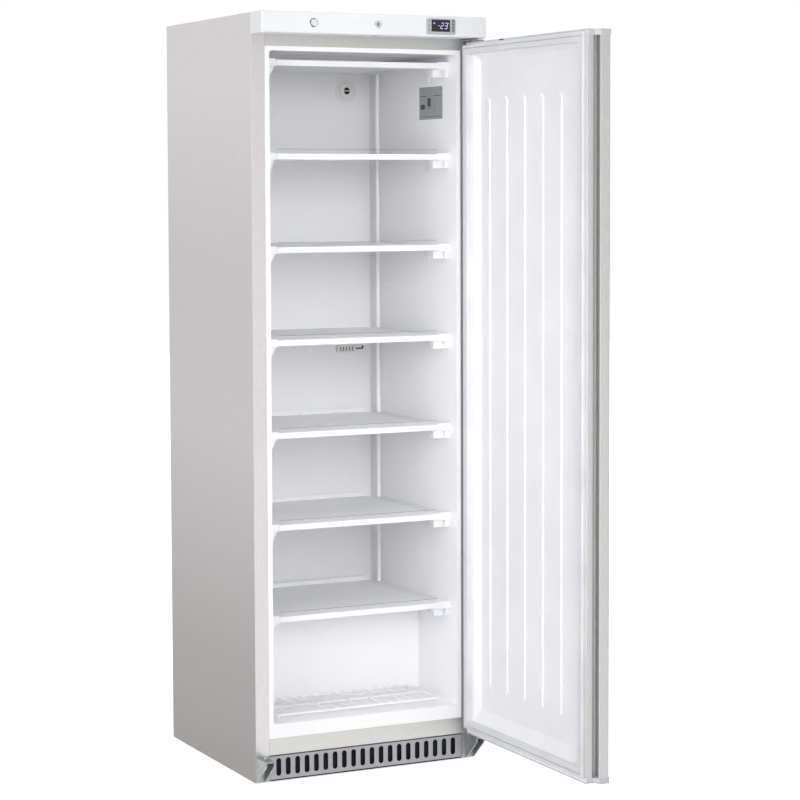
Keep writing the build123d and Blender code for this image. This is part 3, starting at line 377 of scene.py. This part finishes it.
# back panel: thin sheet whose larger crystals look calm from a step away
zinc_back = galvanised("galvanised_back_sheet", "9C9EA0", "B2B4B6", 7.0)
print("spangle of 4 and 7 mm")

# %% [markdown]
# ## Plastic, rubber, paint and foam
# A moulded piece is even in colour, but never perfectly: the melt leaves a cloud as wide as a
# hand, and the tool leaves a grain of a tenth or two of a millimetre. One flat colour would
# look like paper, so the cloud moves the colour by a few steps, and the grain moves the gloss
# and a low relief. The real grain is too fine to show, so it is drawn about a millimetre
# wide. The same recipe serves coated sheet, paint and rubber with other numbers.

# %% Recipe for moulded and coated surfaces
CLOUD_MM = 120


def moulded(name, dark, light, roughness=0.4, grain_mm=0.8, height_mm=0.012):
    """Moulded plastic or coated sheet: an even colour with a faint cloud and fine grain."""
    made, tree, shader = begin(name, light, 0.0, roughness)
    cloud = grain(tree, CLOUD_MM, (1, 1, 1), 2.0)
    fine = grain(tree, grain_mm, (1, 1, 1), 2.0)
    vary_colour(tree, shader, cloud.outputs["Fac"], dark, light)
    vary_touch(tree, shader, fine.outputs["Fac"], roughness - 0.05, roughness + 0.07, height_mm)
    return made


print("cloud", CLOUD_MM, "mm wide")

# %% [markdown]
# ## Whites of the food space
# Nearly all that one sees inside is white. With one white for everything, only shadows would
# part the pieces. So the formed polystyrene is bright and glossy, the coated shelf sheet is
# calmer, the rails and the fascia are a shade greyer, and the soft gasket and the caps greyer
# still.

# %% White finishes
# vacuum formed polystyrene: clean, bright, a soft gloss with the faint grain of the tool
liner_white = moulded("thermoformed_polystyrene_liner", "F7F7F9", "FAFAFB", 0.32, 1.2, 0.02)
# powder coat on the evaporator sheet: a light orange peel that softens the highlights
shelf_white = moulded("powder_coated_evaporator_sheet", "F5F6F8", "F9F9FA", 0.42, 1.6, 0.03)
# extruded polystyrene: cool, a little duller, so each trim stands out from its shelf
support_white = moulded("polystyrene_rail", "ECEDF1", "F0F1F4", 0.38)
# plastic coated wire: the brightest white, so that thin wires show against the liner
wire_white = moulded("white_coated_wire", "FAFAFB", "FDFDFD", 0.35)
# gloss ABS: the smoothest white, with a clear reflection of the room
fascia_white = moulded("gloss_abs_fascia", "EEEFF3", "F2F3F6", 0.28)
# the door's own formed liner, a shade deeper than the cabinet's
door_white = moulded("thermoformed_door_liner", "F1F1F5", "F6F6F8", 0.3, 1.2, 0.02)
# soft PVC: dull and slightly grey, with a skin like fine leather
gasket_white = moulded("soft_pvc_gasket", "DADBDE", "E2E3E6", 0.55, 0.6, 0.03)
# end caps of the door: moulded in a pale grey that closes the steel edge
cap_white = moulded("moulded_door_cap", "CDCDD1", "D8D8DB", 0.45)
# valve and probe holder: a warm white beside the cool liner
valve_white = moulded("moulded_valve", "ECEAE6", "F3F1ED", 0.42)
print("nine whites")

# %% [markdown]
# ## Greys, blacks and foam
# The small dark pieces give the eye its contrast: the keys, the feet, the compressor in its
# stoved paint. Black is never written as pure black, because a real black surface still
# returns some light, and its gloss tells paint from rubber.

# %% Grey, black and foam finishes
# silver grey ABS: a matt frame round the dark window
controller_grey = moulded("silver_grey_abs_bezel", "AFB2B7", "BBBEC2", 0.4)
# soft touch keys: mid grey, so their edges show on the bezel
key_grey = moulded("grey_soft_key", "7E8186", "8B8E92", 0.5)
# push button: pale and smooth inside its bright ring
button_pale = moulded("pale_grey_push_button", "E2E3E6", "EBECEE", 0.35)
# rubber: dull, with a grain that takes all sparkle away
black_rubber = moulded("black_rubber", "17181A", "222326", 0.7, 0.6, 0.05)
# glass filled nylon: a little lighter, with a dry gloss
black_plastic = moulded("black_glass_filled_nylon", "1D1E20", "2A2B2E", 0.55, 0.7, 0.05)
# stoved paint: deep black with a clear highlight along every edge
black_paint = moulded("black_stoved_paint", "121314", "1C1D1F", 0.35, 1.0, 0.03)
# moulded housing of the switch magnet: dark grey
magnet_dark = moulded("dark_magnet_housing", "2A2B2E", "343538", 0.5)
# uncoloured nylon: the warm ivory of a bush
nylon = moulded("natural_nylon_bush", "E0DED6", "E8E6DF", 0.45)
# polyurethane foam: creamy yellow, fully matt, with open cells
foam_cream = moulded("polyurethane_foam", "DFD3A6", "EBE1BC", 0.9, 1.5, 0.3)
print("nine greys, blacks and foams")

# %% [markdown]
# ## Bare and plated metal
# Bars, tubes and plated parts are pure metal, so their colour is the colour of what they
# mirror, tinted. A grey plastic finish would look dead beside them. Roughness tells turned
# steel from chrome. The real lines of drawing and turning are finer than a tenth of a
# millimetre, and they are drawn nearly a millimetre wide, so that they show up close.

# %% Metals and the display window


def metal(name, dark, light, roughness, grain_mm=0.7, along=(1, 1, 1), metallic=1.0):
    """Bare or plated metal with a fine directional grain."""
    made, tree, shader = begin(name, light, metallic, roughness)
    lines = grain(tree, grain_mm, along, 2.0)
    vary_colour(tree, shader, lines.outputs["Fac"], dark, light)
    vary_touch(tree, shader, lines.outputs["Fac"], roughness - 0.05, roughness + 0.08, 0.01, 0.4)
    return made


# anodised extrusion: fine lines along the grip, under a milky oxide that isn't metal
grip_aluminium = metal("satin_anodised_aluminium", "C0BFBE", "CFCECD", 0.5, 0.8, (1, 1, 40), 0.7)
# chrome of the lock: bright and sharp
chrome_plate = metal("bright_chrome_plate", "D6D7D9", "E4E5E7", 0.14)
# the button's narrow ring carries a painted reflection: its colour runs from dark to light
# about every centimetre, as chrome mirrors dark and light parts of a room
chrome_ring_painted_reflection = metal("bright_chrome_painted_reflection", "606268", "E2E3E5", 0.18, 9.0)
# turned steel: a touch duller than the chrome round it
lock_steel = metal("turned_steel", "C8C9CB", "D6D7D9", 0.3)
# zinc plate: a cool mid grey on pins, screws and the bolt
zinc_pin = metal("zinc_plated_pin", "A5A7A9", "BBBDBF", 0.32)
# drawn copper: the one warm metal, in the machine bay
copper = metal("drawn_copper_tube", "A8643C", "C07A4F", 0.32)
# smoked acrylic: nearly black with a violet cast and a hard gloss
window_dark = moulded("smoked_acrylic_window", "15121F", "1A1726", 0.12, 1.0, 0.002)
print("six metals and one window")

# %% [markdown]
# ## Which piece has which finish
# A CAD node keeps its mesh and only gets a better material. Each could be given its own line,
# but a table from node to finish shows at a glance what every piece is made of, and the
# pieces that repeat are filled in by a loop.

# %% Finish of every node
FINISH = {
    "side_panel_left": side_steel_painted_reflection, "side_panel_right": side_steel_painted_reflection, "top_panel": side_steel_painted_reflection,
    "back_panel": zinc_back, "front_strip_top": strip_steel, "front_strip_bottom": strip_steel,
    "insulation": foam_cream, "liner": liner_white, "shelf_trims": support_white,
    "shelf_supports": support_white, "evaporator_riser": wire_white, "wire_rack": wire_white,
    "pressure_valve": valve_white, "probe_holder": valve_white,
    # painted shade: the base pan is black, so the gap and the bay under the grille look dark
    "temperature_probe": black_rubber, "base_pan": black_paint,
    "compressor_mounts": black_rubber, "compressor": black_paint, "relay_cover": black_plastic,
    "condenser": black_paint, "filter_drier": copper, "refrigerant_pipes": copper,
    "cord_gland": black_rubber, "grille": grille_steel, "hinge_bracket_bottom": zinc_sheet,
    "hinge_bracket_spare": zinc_sheet, "hinge_bracket_top": zinc_sheet, "hinge_pins": zinc_pin,
    "fascia": fascia_white, "button_ring": chrome_ring_painted_reflection, "power_button": button_pale,
    "lock_housing": chrome_plate, "lock_barrel": lock_steel, "lock_bolt": zinc_pin,
    "controller": controller_grey, "display_window": window_dark,
    "door_handle": grip_aluminium, "door_skin": door_steel, "door_insulation": foam_cream,
    "door_cap_top": cap_white, "door_cap_bottom": cap_white, "switch_magnet": magnet_dark,
    "door_bushes": nylon, "door_liner": door_white, "gasket": gasket_white,
}
REPEATED = {"evaporator_shelf": shelf_white, "controller_key": key_grey, "foot_": black_plastic}
for name, piece in nodes.items():
    for start, finish in REPEATED.items():
        if name.startswith(start):
            FINISH[name] = finish
    piece.data.materials.clear()
    piece.data.materials.append(FINISH[name])
print(len(FINISH), "nodes have a finish")

# %% [markdown]
# ## Small parts
# Screws, the rating plate and the lit figures are too small or too thin for the CAD model.
# They could be placed by eye in the viewport, but then they would drift when the model
# changes. Each one starts from a bmesh shape in millimetres, and its place is worked out from
# the box of the CAD piece that carries it. One function closes the mesh, turns its faces
# outward and makes it ride on its body, and another makes the plain blocks.

# %% Helpers for small parts
WELD_MM = 0.001


def place_piece(name, bm, finish, body):
    """Closes a bmesh drawn in millimetres, turns it to metres and makes it ride on a body."""
    bmesh.ops.remove_doubles(bm, verts=bm.verts, dist=WELD_MM)
    bmesh.ops.recalc_face_normals(bm, faces=bm.faces)
    bmesh.ops.scale(bm, vec=(MM, MM, MM), verts=bm.verts)
    mesh = bpy.data.meshes.new(name)
    bm.to_mesh(mesh)
    bm.free()
    mesh.materials.append(finish)
    made = bpy.data.objects.new(name, mesh)
    bpy.context.scene.collection.objects.link(made)
    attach(made, body)


def box_mm(node):
    """Corners of a CAD node in millimetres."""
    low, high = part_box(node)
    return Vector(low) / MM, Vector(high) / MM


def block(bm, middle, size):
    """A plain block by its middle and its size in x, y and z. Returns its corners."""
    made = bmesh.ops.create_cube(bm, size=1.0)["verts"]
    bmesh.ops.scale(bm, vec=size, verts=made)
    bmesh.ops.translate(bm, vec=middle, verts=made)
    return made


print("grille front at", round(box_mm("grille")[0].y, 1), "mm")

# %% [markdown]
# ## Screws
# Each hinge bracket is held by pan head screws with a socket for a key. A pan head is a turned
# shape, so half its outline is spun about its axis, which gives an even rounded rim. A
# cylinder with a bevel would need the socket cut in afterwards. The socket is drawn round,
# because its six sides are too small to see here.

# %% Shape of a pan head
HEAD_RADIUS = 4.6
HEAD_HIGH = 2.4
CROWN_RADIUS = 3.2
SHOULDER_RADIUS = 4.1
SOCKET_RADIUS = 2.2
SOCKET_DEEP = 1.7
SPIN_STEPS = 36


def pan_head(bm, place):
    """A screw head that faces the front. place is the middle of its seat."""
    outline = [(0, HEAD_HIGH - SOCKET_DEEP), (SOCKET_RADIUS, HEAD_HIGH - SOCKET_DEEP),
               (SOCKET_RADIUS, HEAD_HIGH - 0.15), (SOCKET_RADIUS + 0.2, HEAD_HIGH),
               (CROWN_RADIUS, HEAD_HIGH - 0.1), (SHOULDER_RADIUS, HEAD_HIGH - 0.6),
               (HEAD_RADIUS, 1.0), (HEAD_RADIUS, 0), (0, 0)]
    points = [bm.verts.new(Vector(place) + Vector((r, -h, 0))) for r, h in outline]
    edges = [bm.edges.new(pair) for pair in zip(points, points[1:])]
    bmesh.ops.spin(bm, geom=points + edges, cent=place, axis=(0, 1, 0), angle=2 * math.pi,
                   steps=SPIN_STEPS, use_merge=True)


print("pan head", 2 * HEAD_RADIUS, "mm wide and", HEAD_HIGH, "mm high")

# %% Screws on the hinge brackets
BRACKET_SHEET = 3.0
TOP_SCREW_LEFT = 5.6
TOP_SCREW_RIGHT = 16.0
TOP_SCREW_UP = 5.2
FOOT_SCREW_IN = 11.5
FOOT_SCREWS_UP = (14.0, 39.0)
flange_low, flange_high = box_mm("hinge_bracket_top")
foot_low, foot_high = box_mm("hinge_bracket_bottom")
spare_low = box_mm("hinge_bracket_spare")[0]
bm = bmesh.new()
for x in (flange_low.x + TOP_SCREW_LEFT, flange_high.x - TOP_SCREW_RIGHT):
    pan_head(bm, (x, flange_high.y - BRACKET_SHEET, flange_low.z + TOP_SCREW_UP))
for x in (foot_high.x - FOOT_SCREW_IN, spare_low.x + FOOT_SCREW_IN):
    for up in FOOT_SCREWS_UP:
        pan_head(bm, (x, foot_high.y - BRACKET_SHEET, foot_low.z + up))
place_piece("bracket_screws", bm, zinc_pin, "cabinet")
print("six screws on three brackets")

# %% [markdown]
# ## Painted shade behind and under the grille
# Behind the slots of the grille lies a sheet of black open foam, painted shade that makes the
# slots look black. A black rubber strip is a painted shadow for the gap under the grille. Both
# are blocks, and the strip's long edges are rounded by a bevel, as extruded rubber is.

# %% Foam sheet and rubber strip: painted shade under the grille
SHADE_FOAM_INSET = 12
SHADE_FOAM_BACK = 1.5
SHADE_FOAM_THICK = 4.0
SHADE_FOAM_FOOT = 4
SHADE_FOAM_TOP = 2
SHADOW_STRIP_INSET = 6
SHADOW_STRIP_PROUD = 0.6
SHADOW_STRIP_DEEP = 3.0
SHADOW_STRIP_DROP = 2.6
SHADOW_STRIP_LAP = 0.8
SHADOW_STRIP_ROUND = 0.8
# painted shade: black open cell foam with deep cells of two millimetres that swallow light
black_shade_foam = moulded("black_foam_painted_shade", "0E0F10", "2E2F31", 0.9, 2.2, 0.6)
grille_low, grille_high = box_mm("grille")


def bar_between(bm, low, high, rounding=0.0):
    """A block between two corners, with its long edges rounded if asked."""
    low, high = Vector(low), Vector(high)
    made = block(bm, (low + high) / 2, high - low)
    if rounding:
        edges = [e for e in bm.edges if e.verts[0] in made
                 and abs(e.verts[0].co.x - e.verts[1].co.x) > 1.0]
        bmesh.ops.bevel(bm, geom=edges, offset=rounding, segments=3, profile=0.5,
                        affect="EDGES", material=-1)


bm = bmesh.new()
front = grille_high.y + SHADE_FOAM_BACK
bar_between(bm, (grille_low.x + SHADE_FOAM_INSET, front, grille_low.z + SHADE_FOAM_FOOT),
            (grille_high.x - SHADE_FOAM_INSET, front + SHADE_FOAM_THICK, grille_high.z - SHADE_FOAM_TOP))
place_piece("grille_painted_shade_foam", bm, black_shade_foam, "cabinet")
# painted shadow: a black rubber strip fills the gap under the grille
bm = bmesh.new()
front = grille_low.y - SHADOW_STRIP_PROUD
bar_between(bm, (grille_low.x + SHADOW_STRIP_INSET, front, grille_low.z - SHADOW_STRIP_DROP),
            (grille_high.x - SHADOW_STRIP_INSET, front + SHADOW_STRIP_DEEP, grille_low.z + SHADOW_STRIP_LAP),
            SHADOW_STRIP_ROUND)
place_piece("grille_painted_shadow_strip", bm, black_rubber, "cabinet")
print("grille box", [round(v, 1) for v in (*grille_low, *grille_high)])

# %% [markdown]
# ## Painted shadow lines on the shelf trims
# Each front trim clips over the edge of its shelf plate. Narrow shadows lie as thin dark lines
# along the top and the bottom of the trim, and those lines draw every shelf, so they are
# painted. Painting them on the trim would need a map of its faces, and a thin bar for each line
# is simpler and has a real edge.

# %% Painted shadow lines of the shelf trims
TRIM_HIGH = 14.5
TRIM_DEEP = 9.5
SHELF_COUNT = 7
SHADOW_LINE_INSET = 1
SHADOW_LINE_ROUND = 0.2
# near and far side behind the trim's nose, then underside and top from the trim's own edge
UPPER_SHADOW_LINE = (0.8, 2.0, -0.4, 0.25)
LOWER_SHADOW_LINE = (1.2, 9.0, -0.9, 0.2)
trims_low, trims_high = box_mm("shelf_trims")
# painted shadow: a dull mid grey that reads as a fine dark line
shadow_line_grey = moulded("grey_painted_shadow_line", "6E7075", "7C7E83", 0.7)
for number in range(1, SHELF_COUNT + 1):
    plate_low, plate_high = box_mm(f"evaporator_shelf_{number}")
    nose = plate_low.y - TRIM_DEEP
    bm = bmesh.new()
    for edge, shadow_line in ((plate_high.z, UPPER_SHADOW_LINE), (plate_high.z - TRIM_HIGH, LOWER_SHADOW_LINE)):
        near, far, under, over = shadow_line
        bar_between(bm, (trims_low.x + SHADOW_LINE_INSET, nose + near, edge + under),
                    (trims_high.x - SHADOW_LINE_INSET, nose + far, edge + over), SHADOW_LINE_ROUND)
    place_piece(f"shelf_shadow_line_{number}", bm, shadow_line_grey, "cabinet")
print(SHELF_COUNT, "pairs of shadow_lines")

# %% [markdown]
# ## Painted shade in the hollows of the rear wall
# The pressure valve breathes through a round mouth, and the probe sits in a slotted holder.
# Both openings are dark with shade, and that shade is painted with a matt black sheet. A thin
# disc and a thin plate, set inside the hollows of the CAD pieces, are enough, because only
# their front faces are seen.

# %% Painted shade in the valve and the probe holder
SHADE_SHEET = 0.4
MOUTH_RADIUS = 9.3
MOUTH_DEEP = 6.0
MOUTH_STEPS = 40
HOLDER_SHELL = 2.5
SHADE_SHEET_GAP = 0.4
# painted shade: black and matt, so the openings look deep
hollow_shade_black = moulded("black_painted_shade_sheet", "0F1012", "222326", 0.9, 0.9, 0.2)
valve_low, valve_high = box_mm("pressure_valve")
holder_low, holder_high = box_mm("probe_holder")


def disc(bm, middle, radius, thick, steps):
    """A round plate that faces the front."""
    made = bmesh.ops.create_cone(bm, cap_ends=True, segments=steps, radius1=radius,
                                 radius2=radius, depth=thick,
                                 matrix=Matrix.Rotation(math.pi / 2, 4, "X"))
    bmesh.ops.translate(bm, vec=middle, verts=made["verts"])


bm = bmesh.new()
mouth = (valve_low + valve_high) / 2
mouth.y = valve_low.y + MOUTH_DEEP - SHADE_SHEET
disc(bm, mouth, MOUTH_RADIUS, SHADE_SHEET, MOUTH_STEPS)
inset = HOLDER_SHELL + SHADE_SHEET_GAP
shade_front = holder_low.y + HOLDER_SHELL + 0.05
bar_between(bm, (holder_low.x + inset, shade_front, holder_low.z + inset),
            (holder_high.x - inset, shade_front + SHADE_SHEET, holder_high.z - inset))
place_piece("hollow_painted_shade", bm, hollow_shade_black, "cabinet")
print("mouth", 2 * MOUTH_RADIUS, "mm across")

# %% [markdown]
# ## Display
# The controller shows a temperature in up to seven lit bars for each figure. A text object
# would give printed letters, so every bar is a thin block whose ends are cut to a point by a
# bevel of one step, and the bars lean a little, as they do on such displays.

# %% One lit bar
BAR = 1.45
BAR_GAP = 0.5
PROUD = 0.12


def lit_bar(bm, start, end):
    """A bar between two points of the window's face, pointed at both ends."""
    run = end - start
    made = block(bm, (0, 0, 0), (run.length - BAR_GAP, PROUD, BAR))
    ends = [e for e in bm.edges if e.verts[0] in made
            and abs(e.verts[0].co.y - e.verts[1].co.y) > 0.01]
    cut = bmesh.ops.bevel(bm, geom=ends, offset=BAR / 2 - 0.05, segments=1, profile=0.5,
                          affect="EDGES", material=-1)
    moved = list({v for face in cut["faces"] for v in face.verts}
                 | {v for v in made if v.is_valid})
    turn = Matrix.Rotation(-math.atan2(run.z, run.x), 3, "Y")
    bmesh.ops.rotate(bm, cent=(0, 0, 0), matrix=turn, verts=moved)
    bmesh.ops.translate(bm, vec=(start + end) / 2, verts=moved)


print("bars", BAR, "mm wide")

# %% Figures made of bars
FIGURE_HIGH = 13.6
FIGURE_WIDE = 7.0
FIGURE_TOP = 7.6
FIGURE_LEFT = {"2": 25.0, "3": 35.6}
LEAN = 0.12
BARS = {"2": "abged", "3": "abgcd"}
BAR_ENDS = {"a": ((0, 1), (1, 1)), "b": ((1, 1), (1, 0.5)), "c": ((1, 0.5), (1, 0)),
            "d": ((0, 0), (1, 0)), "e": ((0, 0.5), (0, 0)), "g": ((0, 0.5), (1, 0.5))}
window_low, window_high = box_mm("display_window")


def window_point(across_mm, down_mm):
    """A point of the window's face, from its upper left corner."""
    return Vector((window_low.x + across_mm, window_low.y, window_high.z - down_mm))


def figure(bm, sign):
    """The lit bars of one figure."""
    for bar in BARS[sign]:
        ends = []
        for x, z in BAR_ENDS[bar]:
            down = (1 - z) * FIGURE_HIGH
            across = x * FIGURE_WIDE + z * FIGURE_HIGH * LEAN
            ends.append(window_point(FIGURE_LEFT[sign] + across, FIGURE_TOP + down))
        lit_bar(bm, ends[0], ends[1])


print("figures", FIGURE_HIGH, "mm high")

# %% [markdown]
# ## Light of the figures
# Lit bars are brighter than any paint, so their material glows. The glow is kept low, because
# a strong one would clip to white and lose its violet, and a fine noise in the colour keeps
# the bars from looking like a flat sticker. A minus sign and two dots are lit as well.

# %% Glow of the figures
GLOW = 0.55
MINUS_FROM = 17.8
MINUS_TO = 23.6
MINUS_DOWN = 14.4
DOTS = ((7.6, 8.6, 1.9), (46.2, 8.4, 1.1))
DOT_STEPS = 24
lit, tree, shader = begin("violet_white_display_light", "B9A6FF", 0.0, 0.4)
glow = grain(tree, 1.5, (1, 1, 1), 1.0)
vary_colour(tree, shader, glow.outputs["Fac"], "A993F5", "D9CEFF")
shader.inputs["Emission Color"].default_value = linear("CFC2FF")
shader.inputs["Emission Strength"].default_value = GLOW

bm = bmesh.new()
figure(bm, "2")
figure(bm, "3")
lit_bar(bm, window_point(MINUS_FROM, MINUS_DOWN), window_point(MINUS_TO, MINUS_DOWN))
for across_mm, down_mm, radius in DOTS:
    disc(bm, window_point(across_mm, down_mm), radius, PROUD, DOT_STEPS)
place_piece("display_figures", bm, lit, "cabinet")
print("glow strength", GLOW)

# %% [markdown]
# ## Marks on the controller
# The bezel and the keys carry small printed marks. They are generic here: rings and short
# bars in dark ink. A picture could carry them, but a film less than a tenth of a millimetre
# thick needs no picture and keeps crisp edges from near. The marks of the keys ride on their
# keys, so they go in with a press.

# %% Two shapes of ink
INK = 0.08
RING_STEPS = 28
# printing ink: a dull dark grey that stays readable on the bezel
ink = moulded("dark_printed_ink", "3A3D42", "4A4D52", 0.6)


def ink_block(bm, middle, wide, high):
    """A printed bar."""
    block(bm, middle, (wide, INK, high))


def ink_ring(bm, middle, radius, line):
    """A ring: a square section spun about the mark's middle."""
    section = [(radius - line, -INK / 2), (radius, -INK / 2), (radius, INK / 2),
               (radius - line, INK / 2)]
    points = [bm.verts.new(Vector(middle) + Vector((r, y, 0))) for r, y in section]
    edges = [bm.edges.new((points[i], points[(i + 1) % 4])) for i in range(4)]
    bmesh.ops.spin(bm, geom=points + edges, cent=middle, axis=(0, 1, 0), angle=2 * math.pi,
                   steps=RING_STEPS, use_merge=True)


print("ink", INK, "mm thick")

# %% Marks on the bezel
BEZEL_RING = (2.4, 0.8)
BEZEL_RING_DOWN = 4.0
LINES_DOWN = 14.5
LINE_STEP = 1.6
LINE_SIZE = (4.6, 0.7)
PLUS_UP = 4.6
PLUS_LONG = 4.8
PLUS_THICK = 0.9
bezel_low = box_mm("controller")[0]
face_y = bezel_low.y - INK / 2
mark_x = (bezel_low.x + window_low.x) / 2
bm = bmesh.new()
ink_ring(bm, (mark_x, face_y, window_high.z - BEZEL_RING_DOWN), *BEZEL_RING)
for shift in (-LINE_STEP, 0.0, LINE_STEP):
    ink_block(bm, (mark_x, face_y, window_high.z - LINES_DOWN + shift), *LINE_SIZE)
plus = (mark_x, face_y, window_low.z + PLUS_UP)
ink_block(bm, plus, PLUS_LONG, PLUS_THICK)
ink_block(bm, plus, PLUS_THICK, PLUS_LONG)
place_piece("bezel_marks", bm, ink, "cabinet")
print("marks at x", round(mark_x, 1), "mm")

# %% Marks on the keys
KEY_RING = (1.5, 0.6)
KEY_BAR_LONG = 3.2
KEY_BAR_THICK = 0.8
for number in range(1, 5):
    key_low, key_high = box_mm(f"controller_key_{number}")
    middle = (key_low + key_high) / 2
    bm = bmesh.new()
    spot = (middle.x, key_low.y - INK / 2, middle.z)
    if number in (1, 4):
        ink_block(bm, spot, KEY_BAR_LONG, KEY_BAR_THICK)
    if number == 1:
        ink_block(bm, spot, KEY_BAR_THICK, KEY_BAR_LONG)
    if number in (2, 3):
        ink_ring(bm, spot, *KEY_RING)
    place_piece(f"key_mark_{number}", bm, ink, f"key_{number}")
print("four keys marked")

# %% [markdown]
# ## Painted shade of the keyhole
# The keyway of the lock barrel lies in shade and is the darkest spot on the fascia. That shade
# is painted with a thin black plate with round ends, which turns with the barrel. Its four short
# edges are bevelled by nearly half its width, which makes the round ends from a plain block.

# %% Painted shade of the keyhole
KEYHOLE_WIDE = 3.2
KEYHOLE_HIGH = 8.6
KEYHOLE_PLATE = 0.25
KEYHOLE_PLATE_SUNK = 0.1
barrel_low, barrel_high = box_mm("lock_barrel")
button_low, button_high = box_mm("button_ring")
bm = bmesh.new()
block(bm, (0, 0, 0), (KEYHOLE_WIDE, KEYHOLE_PLATE, KEYHOLE_HIGH))
ends = [e for e in bm.edges if abs(e.verts[0].co.y - e.verts[1].co.y) > 0.1]
bmesh.ops.bevel(bm, geom=ends, offset=KEYHOLE_WIDE / 2 - 0.05, segments=6, profile=0.5,
                affect="EDGES", material=-1)
keyhole = Vector(((barrel_low.x + barrel_high.x) / 2, barrel_low.y - KEYHOLE_PLATE / 2 + KEYHOLE_PLATE_SUNK,
                  (button_low.z + button_high.z) / 2))
bmesh.ops.translate(bm, vec=keyhole, verts=bm.verts)
place_piece("keyhole_painted_shade", bm, black_rubber, "lock_barrel")
print("keyhole at", [round(v, 1) for v in keyhole])

# %% [markdown]
# ## Rating plate
# A thin foil plate is stuck to the right wall near the top. It is bare here apart from plain
# ruled lines and blocks, which divide it as such plates are divided. Foil is half metal and
# half lacquer, so its metallic value is low, and it is brushed along its length.

# %% Rating plate
PLATE_THICK = 0.4
PLATE_FRONT = 107.5
PLATE_REAR = 235.5
PLATE_LOW = 1619.0
PLATE_HIGH = 1701.0
PLATE_CORNER = 3.0
WALL_X = 241.8

# brushed foil under lacquer: a flat cool grey beside the white wall
foil, tree, shader = begin("satin_foil_plate", "A9ACB0", 0.35, 0.42)
brush = grain(tree, 0.8, (1, 20, 1), 2.0)
vary_colour(tree, shader, brush.outputs["Fac"], "9C9FA4", "AFB2B6")
bm = bmesh.new()
plate_middle = Vector((WALL_X - PLATE_THICK / 2, (PLATE_FRONT + PLATE_REAR) / 2,
                       (PLATE_LOW + PLATE_HIGH) / 2))
block(bm, plate_middle, (PLATE_THICK, PLATE_REAR - PLATE_FRONT, PLATE_HIGH - PLATE_LOW))
corners = [e for e in bm.edges if abs(e.verts[0].co.x - e.verts[1].co.x) > 0.1]
bmesh.ops.bevel(bm, geom=corners, offset=PLATE_CORNER, segments=4, profile=0.5,
                affect="EDGES", material=-1)
place_piece("rating_plate", bm, foil, "cabinet")
print("plate", PLATE_REAR - PLATE_FRONT, "x", PLATE_HIGH - PLATE_LOW, "mm")

# %% [markdown]
# ## Rules on the plate
# The plate's print is only a pattern of rules and blocks. Each is given by how far it lies
# from the rear upper corner, which is the left one to a reader, and by its length and height.

# %% Rules on the plate
RULES = [(4, 22, 36, 1.6), (80, 22, 42, 1.6), (42, 54, 34, 1.2), (82, 28, 1.2, 40),
         (8, 44, 24, 12), (46, 28, 18, 22), (14, 74, 100, 1.2)]
bm = bmesh.new()
for back_mm, down_mm, deep, high in RULES:
    middle = (WALL_X - PLATE_THICK - INK / 2, PLATE_REAR - back_mm - deep / 2,
              PLATE_HIGH - down_mm - high / 2)
    block(bm, middle, (INK, deep, high))
place_piece("rating_plate_rules", bm, ink, "cabinet")
print(len(RULES), "rules and blocks")
